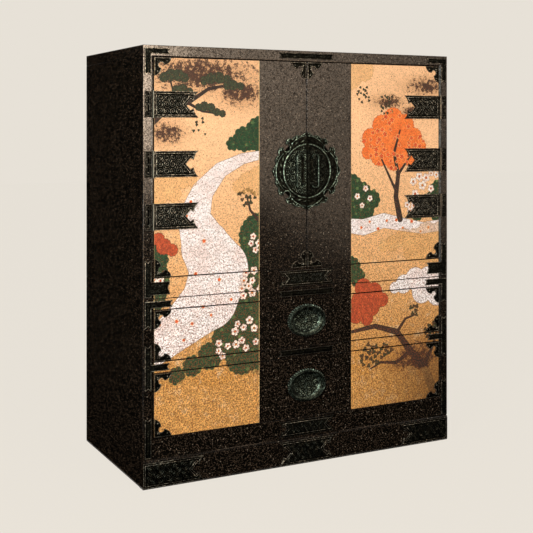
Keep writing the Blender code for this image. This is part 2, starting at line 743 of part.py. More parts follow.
def bail_meshes():
    """Left bail pull and the seat strip with its two eyes."""
    x, y = -BAIL_AXIS, FRONT - BAIL_PROUD
    floor = SEAT + LOCK_PLATE + SEAT
    half = EYE_RISE + EYE_LENGTH / 2 + SEAT_STRIP_OVERHANG
    side = SEAT_STRIP_WIDTH / 2
    outline = [(side, -half), (side, half)]
    outline += arc((side, half), (-side, half), -side, SEAT_STRIP_STEPS)
    outline += [(-side, -half)] + arc((-side, -half), (side, -half), -side, SEAT_STRIP_STEPS)[:-1]
    strip = plate(shifted(outline, x, LOCK_Z), floor, floor + SEAT_STRIP)
    bore = BAIL_ROD + PIN_CLEARANCE
    for rise in (-EYE_RISE, EYE_RISE):
        low, high = LOCK_Z + rise - EYE_LENGTH / 2, LOCK_Z + rise + EYE_LENGTH / 2
        strip = union(strip, upright(EYE_RADIUS, x, y, low, high))
        strip = cut(strip, upright(bore, x, y, low - EYE_LENGTH, high + EYE_LENGTH))

    end = EYE_RISE - EYE_LENGTH / 2
    bulge = BAIL_BEND * (1 - math.sqrt(0.5))
    corner = [(0, BAIL_HALF_LENGTH - BAIL_BEND)]
    corner += arc(corner[0], (-BAIL_BEND, BAIL_HALF_LENGTH), -bulge, BAIL_BEND_STEPS)
    grip = [(-BAIL_REACH - a, b) for a, b in reversed(corner)]
    upper = [(0, end)] + corner + grip
    path = upper + [(a, -b) for a, b in reversed(upper)]
    bail = rod([(x + a, y, LOCK_Z + b) for a, b in path], BAIL_ROD)
    return bail, strip


def doors():
    """Both doors with their hinges, lock plates and bail pulls."""
    strap, leaf, pin = hinge_meshes()
    bail, strip = bail_meshes()
    pieces = {"door": door_mesh(), "lock_plate": lock_half(), "bail_seat": strip, "bail": bail}
    looks = {"door": BLACK_LACQUER, "lock_plate": BLACK_IRON, "bail_seat": BLACK_IRON, "bail": BLACK_IRON}
    for side, sign in (("left", 1), ("right", -1)):
        swing = pivot(f"{side}_door_hinge", (sign * HINGE_X, FRONT - HINGE_PROUD, DOOR_Z))
        pull = pivot(f"{side}_bail_pivot", (-sign * BAIL_AXIS, FRONT - BAIL_PROUD, LOCK_Z), swing)
        for name, mesh in pieces.items():
            shape = mesh.copy() if sign > 0 else mirrored(mesh)
            part(f"{side}_{name}", shape, looks[name], pull if name == "bail" else swing, name == "bail")
        for level, z in zip(("top", "middle", "bottom"), hinge_levels()):
            for name, mesh, body in (("strap", strap, swing), ("leaf", leaf, None), ("pin", pin, None)):
                shape = raised(mesh if sign > 0 else mirrored(mesh), z)
                part(f"{side}_{level}_hinge_{name}", shape, BLACK_IRON, body, True)


def pan_profile():
    """Pan of a drawer pull, from the middle of its dish over the flange to the middle of its back."""
    lip = PAN_HALF_HEIGHT - PAN_FLANGE
    top = SEAT + PAN_FLANGE_THICKNESS
    shares = [i / PAN_DISH_RINGS for i in range(PAN_DISH_RINGS + 1)]
    bowl = [(lip * math.sin(math.pi / 2 * s), top - PAN_DISH * math.cos(math.pi / 2 * s)) for s in shares]
    rim = [(PAN_HALF_HEIGHT - PAN_FLANGE_THICKNESS / 2, top),
           (PAN_HALF_HEIGHT, top - PAN_FLANGE_THICKNESS / 2), (PAN_HALF_HEIGHT, SEAT)]
    under = [(r + PAN_WALL * s, h - PAN_WALL * (1 - s)) for s, (r, h) in zip(shares, bowl)]
    under = [(r, min(h, SEAT)) for r, h in under]
    return bowl + rim + under[::-1]


def pull_meshes(x_scale):
    """Pan and ring of a drawer pull about (0, 0)."""
    pan = turned(pan_profile(), PAN_STEPS)
    pan.transform(Matrix.Translation((0, FRONT, 0)) @ Matrix.Rotation(math.pi / 2, 4, "X")
                  @ Matrix.Diagonal((x_scale, 1, 1, 1)))
    across, up = PAN_HALF_WIDTH - RING_INSET, PAN_HALF_HEIGHT - RING_INSET
    y = FRONT - RING_PROUD
    turns = [2 * math.pi * i / RING_POINTS for i in range(RING_POINTS)]
    ring = rod([(across * math.sin(t), y, up * math.cos(t)) for t in turns], RING_ROD, True)

    foot = FRONT - SEAT - PAN_FLANGE_THICKNESS + STAPLE_FOOT
    turns = [math.pi * i / STAPLE_STEPS for i in range(STAPLE_STEPS + 1)]
    arch = [(0, y - STAPLE_RADIUS * math.sin(t), up + STAPLE_RADIUS * math.cos(t)) for t in turns]
    staple = rod([(0, foot, arch[0][2])] + arch + [(0, foot, arch[-1][2])], STAPLE_ROD)
    return union(pan, staple), ring


def drawer(name, z, opening):
    """One drawer: front with its brackets and pocket, box, pan and hanging ring."""
    slide = pivot(f"{name}_drawer_slide", (0, FRONT, z))
    half = INSIDE - FRONT_GAP
    low, high = z + FRONT_GAP, z + opening - FRONT_GAP
    pull_z = z + opening / 2 + PULL_RISE
    front = box((-half, FRONT, low), (half, FRONT + DRAWER_FRONT, high))
    front = union(front, *corner_brackets(-half, half, low, high))
    x_scale = PAN_HALF_WIDTH / PAN_HALF_HEIGHT
    pocket = upright(PAN_HALF_HEIGHT - PAN_FLANGE + PAN_WALL + POCKET_CLEARANCE, 0, 0,
                     -PAN_DISH - POCKET_CLEARANCE, PAN_DISH, PAN_STEPS)
    pocket.transform(Matrix.Translation((0, FRONT, pull_z)) @ Matrix.Rotation(math.pi / 2, 4, "X")
                     @ Matrix.Diagonal((x_scale, 1, 1, 1)))
    part(f"{name}_drawer_front", cut(front, pocket), BLACK_LACQUER, slide)

    outer = INSIDE - BOX_CLEARANCE
    near, far = FRONT + DRAWER_FRONT + SEAT, INSIDE_BACK - DRAWER_REAR_GAP
    floor, top = z + SEAT, z + opening - DRAWER_HEADROOM
    left = box((-outer, near, floor), (-outer + DRAWER_BOARD, far, top))
    part(f"{name}_drawer_right_side", mirrored(left), BARE_WOOD, slide)
    part(f"{name}_drawer_left_side", left, BARE_WOOD, slide)
    inner = outer - DRAWER_BOARD - SEAT
    back = box((-inner, far - DRAWER_BOARD, floor), (inner, far, top))
    part(f"{name}_drawer_back", back, BARE_WOOD, slide)
    rise = floor + DRAWER_BOTTOM_RISE
    bottom = box((-inner, near, rise), (inner, far - DRAWER_BOARD - SEAT, rise + DRAWER_BOTTOM))
    part(f"{name}_drawer_bottom", bottom, BARE_WOOD, slide)

    pan, ring = pull_meshes(x_scale)
    part(f"{name}_pull_pan", raised(pan, pull_z), BLACK_IRON, slide, True)
    hang_z = pull_z + PAN_HALF_HEIGHT - RING_INSET
    hang = pivot(f"{name}_ring_pivot", (0, FRONT - RING_PROUD, hang_z), slide)
    part(f"{name}_pull_ring", raised(ring, pull_z), BLACK_IRON, hang, True)


clear_scene()
CHEST = collection("storage_chest")
HELPERS = collection("cutters")
upper_case()
lower_case()
base()
doors()
drawer("upper", UPPER_DRAWER_Z, UPPER_OPENING)
drawer("lower", LOWER_DRAWER_Z, LOWER_OPENING)
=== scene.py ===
"""Looks of a two-tier lacquered storage chest, dressed over its CAD frame.

Black lacquer with gilded picture panels and blackened iron fittings, bare paulownia inside. Metres, +Z up,
with the front towards -Y. Sizes of fittings are written in millimetres and turned to metres by MM.
"""
import json
import logging
import math
from dataclasses import dataclass
from enum import Enum
from functools import partial
from typing import Callable, Sequence

import bpy
import numpy as np
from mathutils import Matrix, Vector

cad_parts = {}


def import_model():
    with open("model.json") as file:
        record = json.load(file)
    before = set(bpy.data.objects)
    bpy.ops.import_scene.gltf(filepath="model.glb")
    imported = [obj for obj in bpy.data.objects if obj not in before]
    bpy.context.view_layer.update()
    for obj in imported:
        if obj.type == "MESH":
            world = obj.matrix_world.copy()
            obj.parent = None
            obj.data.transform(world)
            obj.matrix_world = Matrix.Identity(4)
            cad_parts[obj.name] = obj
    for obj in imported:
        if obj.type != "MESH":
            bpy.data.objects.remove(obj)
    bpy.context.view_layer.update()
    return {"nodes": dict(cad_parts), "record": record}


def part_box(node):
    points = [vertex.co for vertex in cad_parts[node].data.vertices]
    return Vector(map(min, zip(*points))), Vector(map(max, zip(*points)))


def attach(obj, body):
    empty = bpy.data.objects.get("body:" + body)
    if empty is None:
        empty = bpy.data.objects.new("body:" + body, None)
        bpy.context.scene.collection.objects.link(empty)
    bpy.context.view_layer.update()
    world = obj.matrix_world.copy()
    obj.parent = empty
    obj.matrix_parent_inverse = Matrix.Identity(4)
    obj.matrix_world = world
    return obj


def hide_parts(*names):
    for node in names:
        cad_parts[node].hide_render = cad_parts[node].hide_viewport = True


LOG = logging.getLogger("storage_chest")
MM = 0.001
CAD_RELIEF = 1.6 * MM
HINGE_X = 430.0 * MM
UPPER_PULL_Z = 374.0
LOWER_PULL_Z = 204.5
PANEL_WIDTH = 288.0
LEFT_PANEL_X = -0.427
RIGHT_PANEL_X = 0.137
Array = np.ndarray
Rows = Sequence[tuple[float, ...]]
Profile = Sequence[tuple[float, float, float]]
Place = tuple[float, float, float]
AddNode = Callable[..., bpy.types.Node]


class Body(Enum):
    """Bodies of the frame that pieces ride on."""

    CARCASS = "carcass"
    LEFT_DOOR = "left_door_leaf"
    RIGHT_DOOR = "right_door_leaf"
    LEFT_BAIL = "left_bail_pull"
    RIGHT_BAIL = "right_bail_pull"
    UPPER_DRAWER = "upper_drawer"
    LOWER_DRAWER = "lower_drawer"
    UPPER_RING = "upper_ring"
    LOWER_RING = "lower_ring"


class Slot(Enum):
    """Material slots of the record."""

    LACQUER = "black_lacquer"
    WOOD = "paulownia_wood"
    IRON = "blackened_iron"


def linear(hex_colour: str) -> tuple[float, float, float, float]:
    """Turn an sRGB hex colour into linear RGBA.

    Args:
        hex_colour: Colour such as "#1A2B3C".

    Returns:
        Linear red, green, blue and an alpha of 1.
    """
    text = hex_colour.lstrip("#")
    srgb = np.array([int(text[i:i + 2], 16) / 255 for i in (0, 2, 4)])
    value = np.where(srgb <= 0.04045, srgb / 12.92, ((srgb + 0.055) / 1.055) ** 2.4)
    return (*value.tolist(), 1.0)


def add_node(tree: bpy.types.NodeTree, kind: str, inputs: dict[str | int, object],
             **settings: object) -> bpy.types.Node:
    """Add a node with its settings, values and links.

    Args:
        tree: Node tree that gets the node.
        kind: Node type after "ShaderNode", such as "TexNoise".
        inputs: Values, hex colours, sockets, or nodes that give their first enabled output, by input.
        settings: Attributes of the node by name.

    Returns:
        The new node.
    """
    node = tree.nodes.new(f"ShaderNode{kind}")
    for name, value in settings.items():
        setattr(node, name, value)
    for key, value in inputs.items():
        if isinstance(value, bpy.types.Node):
            value = next(output for output in value.outputs if output.enabled)
        if isinstance(value, bpy.types.NodeSocket):
            tree.links.new(value, node.inputs[key])
        else:
            node.inputs[key].default_value = linear(value) if isinstance(value, str) else value
    return node


def new_material(name: str) -> tuple[bpy.types.Material, AddNode]:
    """Make a material with an empty node tree.

    Args:
        name: Name of the material.

    Returns:
        The material, and add_node for its tree.
    """
    material = bpy.data.materials.new(name)
    material.use_nodes = True
    material.node_tree.nodes.clear()
    return material, partial(add_node, material.node_tree)


@dataclass
class Shape:
    """Points and faces of a mesh that is being worked out.

    relief is one number for each point, from -1 in a groove to 1 on a worn ridge.
    """

    points: Array
    faces: list[list[int]]
    relief: Array

    def mirrored(self) -> "Shape":
        """Copy on the other side of the chest, with its faces turned to point outwards again."""
        faces = [face[::-1] for face in self.faces]
        return Shape(self.points * np.array([-1.0, 1.0, 1.0]), faces, self.relief)

    def rubbed(self, change: float) -> "Shape":
        """Copy with its relief shifted, which shows more or less of the worn colour; used as painted shade.
        """
        return Shape(self.points, self.faces, self.relief + change)

    def moved(self, x: float, z: float) -> "Shape":
        """Copy moved over the front."""
        return Shape(self.points + np.array([x, 0.0, z]), self.faces, self.relief)


def join(shapes: Sequence[Shape]) -> Shape:
    """Put several shapes into one.

    Args:
        shapes: Shapes to join.

    Returns:
        One shape with all their points and faces.
    """
    faces: list[list[int]] = []
    start = 0
    for shape in shapes:
        faces += [[start + i for i in face] for face in shape.faces]
        start += len(shape.points)
    return Shape(np.concatenate([s.points for s in shapes]), faces,
                 np.concatenate([s.relief for s in shapes]))


def grid_faces(rows: int, columns: int, wrap: bool = False) -> list[list[int]]:
    """Quads of a grid of points that are numbered row by row.

    Args:
        rows: Number of rows of points.
        columns: Number of points in a row.
        wrap: Whether the last column joins the first.

    Returns:
        Point numbers of each quad, running along the row first.
    """
    row = np.arange(rows - 1)[:, None] * columns
    here = np.arange(columns if wrap else columns - 1)[None, :]
    ahead = (here + 1) % columns
    quads = np.stack([row + here, row + ahead, row + columns + ahead, row + columns + here], axis=-1)
    return quads.reshape(-1, 4).tolist()


def arc(start: Array, end: Array, bulge: float, steps: int) -> Array:
    """Points of a circular arc, without its start.

    The centre lies on the chord's perpendicular bisector, and the start is turned about it in equal steps.

    Args:
        start: First end of the chord.
        end: Second end of the chord.
        bulge: Height of the arc over the chord, positive on its left.
        steps: Number of points.

    Returns:
        Array of (steps, 2) points.
    """
    chord = np.asarray(end, float) - np.asarray(start, float)
    length = np.hypot(*chord)
    radius = (length ** 2 / 4 + bulge ** 2) / (2 * bulge)
    left = np.array([-chord[1], chord[0]]) / length
    centre = (np.asarray(start) + np.asarray(end)) / 2 + left * (bulge - radius)
    turn = -4 * math.atan(2 * bulge / length) * np.arange(1, steps + 1) / steps
    spoke = np.asarray(start) - centre
    return np.stack([centre[0] + spoke[0] * np.cos(turn) - spoke[1] * np.sin(turn),
                     centre[1] + spoke[0] * np.sin(turn) + spoke[1] * np.cos(turn)], axis=1)


def mitres(path: Array, closed: bool) -> Array:
    """Vectors that move each corner of a path to its left by one unit, kept to a sharp corner's reach.

    Each is the sum of the two edges' left normals over one plus their dot product.

    Args:
        path: (n, 2) corners.
        closed: Whether the last corner joins the first.

    Returns:
        (n, 2) vectors.
    """
    edges = np.roll(path, -1, axis=0) - path
    edges /= np.maximum(np.linalg.norm(edges, axis=1, keepdims=True), 1e-9)
    ahead = np.stack([-edges[:, 1], edges[:, 0]], axis=1)
    if not closed:
        ahead[-1] = ahead[-2]
    behind = np.roll(ahead, 1, axis=0)
    if not closed:
        behind[0] = ahead[0]
    share = np.maximum(1 + np.sum(ahead * behind, axis=1, keepdims=True), 0.3)
    return (ahead + behind) / share


@dataclass(frozen=True)
class FrontPlane:
    """Plane of the chest's front, and shapes that are laid out on it in x and z.

    Chased fields are sunk a little into their plates and die out over a fade at their rims (millimetres).
    """

    y: float
    fade: float = 2.0
    sunk: float = 0.12

    def place(self, x: Array, z: Array, proud: Array) -> Array:
        """Points at x and z that stand proud of the front."""
        x, z, proud = np.broadcast_arrays(x, z, proud)
        return np.stack([x, self.y - proud, z], axis=-1).reshape(-1, 3)

    def plate(self, outline: Array, profile: Profile) -> Shape:
        """Plate with a moulded border: a profile carried round an outline, and a flat field inside it.

        Ring k is the outline moved inwards along its mitres by the profile's inset k, at its height k.

        Args:
            outline: (n, 2) corners, anticlockwise as seen from the front.
            profile: (inset, height, relief) in millimetres, from the foot of the edge inwards.

        Returns:
            The plate's shape.
        """
        steps = np.array(profile)
        rings = outline[None, :, :] + mitres(outline, True)[None, :, :] * steps[:, None, :1] * MM
        points = self.place(rings[..., 0], rings[..., 1], steps[:, 1:2] * MM)
        count = len(outline)
        faces = grid_faces(len(steps), count, True)
        last = (len(steps) - 1) * count
        faces.append(list(range(last, last + count)))
        return Shape(points, faces, np.repeat(steps[:, 2], count))

    def bead(self, path: Array, width: float, height: float, base: float, closed: bool = False,
             relief: float = 1.0) -> Shape:
        """Half-round moulding along a path: a half ellipse carried along it, drawn to a point at open ends.

        Args:
            path: (n, 2) points.
            width: Width of the moulding in millimetres.
            height: Rise over its base in millimetres.
            base: Height of its base over the front in millimetres.
            closed: Whether the path closes on itself.
            relief: Wear of its crown.

        Returns:
            The moulding's shape.
        """
        across = np.linspace(math.pi, 0.0, 7)
        side = np.cos(across) * width / 2 * MM
        rise = np.sin(across)
        taper = np.ones(len(path))
        if not closed:
            taper[[0, -1]] = 0.0
        left = mitres(path, closed)
        x = path[None, :, 0] - left[None, :, 0] * (side[:, None] * taper)
        z = path[None, :, 1] - left[None, :, 1] * (side[:, None] * taper)
        proud = (base + height * rise[:, None] * taper) * MM
        faces = [face[::-1] for face in grid_faces(len(across), len(path), closed)]
        return Shape(self.place(x, z, proud), faces,
                     np.repeat(rise * (1 + relief) - 1, len(path)))

    def field(self, low: tuple[float, float], high: tuple[float, float], step: float, base: float,
              depth: float, pattern: Callable[[Array, Array], Array],
              ends: Callable[[Array], tuple[Array, Array]], wear: float = 0.7) -> Shape:
        """Chased field: a grid whose rows run between two end lines, and whose pattern dies out at its rim.

        Args:
            low: Lower left corner of its frame, in metres.
            high: Upper right corner of its frame, in metres.
            step: Spacing of the grid in millimetres.
            base: Height of the plate's flat field in millimetres.
            depth: Rise of the chasing in millimetres.
            pattern: Height from 0 to 1 from x and z in metres, measured from the lower left corner.
            ends: Left and right end of a row from its height in metres.
            wear: Range of its relief from its ground to its crests.

        Returns:
            The field's shape.
        """
        columns, rows = (max(2, round((high[i] - low[i]) / (step * MM)) + 1) for i in (0, 1))
        across, z = np.meshgrid(np.linspace(0, 1, columns), np.linspace(low[1], high[1], rows))
        left, right = ends(z)
        x = left + across * (right - left)
        rim = np.minimum.reduce([x - left, right - x, z - low[1], high[1] - z])
        rise = pattern(x - low[0], z - low[1]) * np.clip(rim / (self.fade * MM), 0, 1)
        proud = (base - self.sunk + depth * rise) * MM
        return Shape(self.place(x, z, proud), grid_faces(rows, columns), (wear * rise - 0.5).ravel())

    def nails(self, places: Array, radius: float, base: float) -> Shape:
        """Domed nail heads: quarter circles turned about an axis at each place.

        Args:
            places: (n, 2) centres.
            radius: Radius of a head in millimetres.
            base: Height that the heads stand on in millimetres.

        Returns:
            One shape with all the heads.
        """
        wear, sides, flatness = (0.0, 0.3, 0.8, 1.0), 10, 0.55
        rise = np.linspace(0, math.pi / 2, len(wear))[:, None]
        turn = np.linspace(0, 2 * math.pi, sides, endpoint=False)[None, :]
        ring = radius * np.cos(rise) * MM
        x, z = ring * np.cos(turn), ring * np.sin(turn)
        proud = (base + flatness * radius * np.sin(rise)) * MM
        head = Shape(self.place(x, z, proud), grid_faces(len(wear), sides, True), np.repeat(wear, sides))
        return join([head.moved(float(px), float(pz)) for px, pz in places])


def tube(path: Array, normal: Array, radius: Array, sides: int, closed: bool = False,
         wear: float = 0.3) -> Shape:
    """Round rod along a flat path: a circle carried in the plane of the path's left and its normal.

    Args:
        path: (n, 3) points in one plane.
        normal: Unit normal of that plane.
        radius: (n,) or (n, sides) radii in metres; a zero at an open end closes it.
        sides: Number of points round the rod.
        closed: Whether the path closes on itself.
        wear: Relief of its surface.

    Returns:
        The rod's shape.
    """
    if closed:
        along = np.roll(path, -1, axis=0) - np.roll(path, 1, axis=0)
    else:
        along = np.gradient(path, axis=0)
    along /= np.linalg.norm(along, axis=1, keepdims=True)
    left = np.cross(normal, along)
    turn = np.linspace(0, 2 * math.pi, sides, endpoint=False)
    reach = np.broadcast_to(np.reshape(radius, (len(path), -1)), (len(path), sides))[..., None]
    ring = left[:, None, :] * np.cos(turn)[None, :, None] + normal * np.sin(turn)[None, :, None]
    points = path[:, None, :] + ring * reach
    faces = grid_faces(len(path), sides, True)
    if closed:
        last = (len(path) - 1) * sides
        here = np.arange(sides)
        ahead = (here + 1) % sides
        faces += np.stack([last + here, last + ahead, ahead, here], axis=-1).tolist()
    return Shape(points.reshape(-1, 3), faces, np.full(len(path) * sides, wear))


def make_piece(name: str, shape: Shape, material: bpy.types.Material, body: Body,
               replaced: Sequence[str] = (), sharp_degrees: float = 38.0) -> bpy.types.Object:
    """Make an object of the scene from a shape and set it on its body.

    Args:
        name: Name of the piece.
        shape: Its points, faces and relief.
        material: Its finish.
        body: Body of the frame that it moves with.
        replaced: CAD nodes that it stands for.
        sharp_degrees: Angle over which an edge stays sharp.

    Returns:
        The object.
    """
    mesh = bpy.data.meshes.new(name)
    mesh.from_pydata(shape.points.tolist(), [], shape.faces)
    layer = mesh.attributes.new("relief", "FLOAT", "POINT")
    layer.data.foreach_set("value", np.ascontiguousarray(shape.relief, np.float32))
    mesh.shade_smooth()
    mesh.set_sharp_from_angle(angle=math.radians(sharp_degrees))
    mesh.materials.append(material)
    item = bpy.data.objects.new(name, mesh)
    bpy.context.scene.collection.objects.link(item)
    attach(item, body.value)
    if replaced:
        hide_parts(*replaced)
    LOG.info("%s: %d points on %s", name, len(shape.points), body.value)
    return item


@dataclass(frozen=True)
class BlackLacquer:
    """Black urushi lacquer over a sprinkling of metal dust, polished to a satin gloss.

    A deep brown-black film that shows soft reflections, with a fine grain of brown flakes in it, a grain
    in its gloss and a few bright points like stars.
    """

    film: str = "#090705"
    dust: str = "#4A3E33"
    star: str = "#7A7266"
    flake_mm: float = 1.6
    star_mm: float = 7.5
    sheen_mm: float = 2.7
    wave_mm: float = 14.0
    depth_share: float = 0.4
    roughness: float = 0.13
    ior: float = 1.45

    def build(self, name: str = "black_urushi_lacquer") -> bpy.types.Material:
        """Make the material; its flakes are coarser than real dust, and long in depth, so that they show."""
        material, add = new_material(name)
        place = add("TexCoord", {}).outputs["Object"]
        spread = add("VectorMath", {0: place, 1: (1.0, self.depth_share, 1.0)}, operation="MULTIPLY")
        flakes, stars, patches = (add("TexVoronoi", {"Vector": spread, "Scale": 1 / (size * MM)})
                                  for size in (self.flake_mm, self.star_mm, self.sheen_mm))
        chance, lot, sheen = (add("SeparateColor", {"Color": cells.outputs["Color"]}).outputs
                              for cells in (flakes, stars, patches))
        flake = add("MapRange", {"Value": chance["Red"], "From Min": 0.80, "From Max": 0.95})
        dusted = add("Mix", {0: flake, 6: self.film, 7: self.dust}, data_type="RGBA")
        bright = add("MapRange", {"Value": lot["Red"], "From Min": 0.70, "From Max": 0.75})
        star = add("MapRange", {"Value": stars, "From Min": 0.24, "From Max": 0.12, "To Max": bright})
        colour = add("Mix", {0: star, 6: dusted, 7: self.star}, data_type="RGBA")
        shine = add("MapRange", {"Value": sheen["Green"], "To Min": 0.1, "To Max": 0.9})
        gloss = add("MapRange", {"Value": sheen["Blue"], "To Min": self.roughness - 0.05,
                                 "To Max": self.roughness + 0.07})
        waves = add("TexNoise", {"Vector": place, "Scale": 1 / (self.wave_mm * MM), "Detail": 2.0})
        bump = add("Bump", {"Height": waves, "Strength": 0.25, "Distance": 0.3 * MM})
        shader = add("BsdfPrincipled", {"Base Color": colour, "IOR": self.ior, "Specular IOR Level": shine,
                                        "Roughness": gloss, "Normal": bump})
        add("OutputMaterial", {"Surface": shader})
        return material


@dataclass(frozen=True)
class BlackenedIron:
    """Wrought iron, chased, blackened over a fire and lacquered.

    A green-black skin that is rubbed to grey on its raised lines and stays dull in the grooves.
    """

    skin: str = "#10110E"
    worn: str = "#8A857A"
    groove: str = "#040404"
    # crown is the colour of the painted highlight along the hinge barrels.
    crown: str = "#5A554C"
    crown_mm: float = 1.4
    mottle_mm: float = 7.0
    tooth_mm: float = 3.4
    scale_mm: float = 3.2
    roughness: float = 0.36

    def build(self, name: str = "blackened_wrought_iron", barrel: float = 0.0) -> bpy.types.Material:
        """Make the material, with wear that follows a piece's relief and fire scale coarse enough to show.

        Args:
            name: Name of the material.
            barrel: Distance of the hinges' barrels from the chest's middle, where a lighter stripe is painted
                as their highlight; 0 for none.

        Returns:
            The material.
        """
        material, add = new_material(name)
        place = add("TexCoord", {}).outputs["Object"]
        relief = add("Attribute", {}, attribute_name="relief").outputs["Fac"]
        mottle = add("TexNoise", {"Vector": place, "Scale": 1 / (self.mottle_mm * MM), "Detail": 4.0,
                                  "Roughness": 0.6})
        tooth = add("TexNoise", {"Vector": place, "Scale": 1 / (self.tooth_mm * MM), "Detail": 2.0})
        high = add("MapRange", {"Value": relief, "From Min": 0.1, "From Max": 1.0})
        low = add("MapRange", {"Value": relief, "From Min": -0.05, "From Max": -0.9})
        patchy, gloss = (add("MapRange", {"Value": mottle, "From Min": 0.3, "From Max": 0.7, "To Min": least,
                                          "To Max": most})
                         for least, most in ((0.45, 1.0), (self.roughness - 0.08, self.roughness + 0.12)))
        worn = add("Math", {0: high, 1: patchy}, operation="MULTIPLY")
        base = add("Mix", {0: low, 6: self.skin, 7: self.groove}, data_type="RGBA")
        rubbed = add("Mix", {0: worn, 6: base, 7: self.worn}, data_type="RGBA")
        cells = add("TexVoronoi", {"Vector": place, "Scale": 1 / (self.scale_mm * MM)})
        chance = add("SeparateColor", {"Color": cells.outputs["Color"]}).outputs["Red"]
        grain = add("MapRange", {"Value": chance, "From Min": 0.5, "To Min": 0.4, "To Max": 3.0})
        colour = add("Mix", {0: 1.0, 6: rubbed, 7: grain}, data_type="RGBA", blend_type="MULTIPLY")
        # Painted highlight: a stripe of the crown colour along each hinge barrel.
        if barrel:
            side = add("SeparateXYZ", {"Vector": place}).outputs["X"]
            across = add("Math", {0: side}, operation="ABSOLUTE")
            near = add("Math", {0: across, 1: barrel, 2: self.crown_mm * MM}, operation="COMPARE")
            colour = add("Mix", {0: near, 6: colour, 7: self.crown}, data_type="RGBA")
        bump = add("Bump", {"Height": tooth, "Strength": 0.5, "Distance": 0.25 * MM})
        shader = add("BsdfPrincipled", {"Base Color": colour, "Metallic": 1.0, "Roughness": gloss,
                                        "Normal": bump})
        add("OutputMaterial", {"Surface": shader})
        return material


@dataclass(frozen=True)
class Paulownia:
    """Planed paulownia, left bare.

    Pale, light wood with broad growth lines along the board and short dark pores.
    """

    axis: int = 0
    pale: str = "#CDB391"
    dark: str = "#A98A63"
    pore: str = "#7C6040"
    line_mm: float = 11.0
    pore_mm: float = 1.1
    along_share: float = 0.06
    roughness: float = 0.6

    def build(self) -> bpy.types.Material:
        """Make the material, with the grain along its axis."""
        material, add = new_material(f"planed_paulownia_{'xyz'[self.axis]}")
        place = add("TexCoord", {}).outputs["Object"]
        stretch = [self.along_share if number == self.axis else 1.0 for number in range(3)]
        along = add("Mapping", {"Vector": place, "Scale": stretch})
        lines = add("TexNoise", {"Vector": along, "Scale": 1 / (self.line_mm * MM), "Detail": 3.0,
                                 "Roughness": 0.55, "Distortion": 0.6})
        pores = add("TexNoise", {"Vector": along, "Scale": 1 / (self.pore_mm * MM), "Detail": 1.0})
        grain = add("MapRange", {"Value": lines, "From Min": 0.38, "From Max": 0.62})
        pore = add("MapRange", {"Value": pores, "From Min": 0.58, "From Max": 0.75, "To Max": 0.5})
        wood = add("Mix", {0: grain, 6: self.pale, 7: self.dark}, data_type="RGBA")
        colour = add("Mix", {0: pore, 6: wood, 7: self.pore}, data_type="RGBA")
        bump = add("Bump", {"Height": pores, "Strength": 0.3, "Distance": 0.15 * MM})
        shader = add("BsdfPrincipled", {"Base Color": colour, "Roughness": self.roughness, "Normal": bump})
        add("OutputMaterial", {"Surface": shader})
        return material


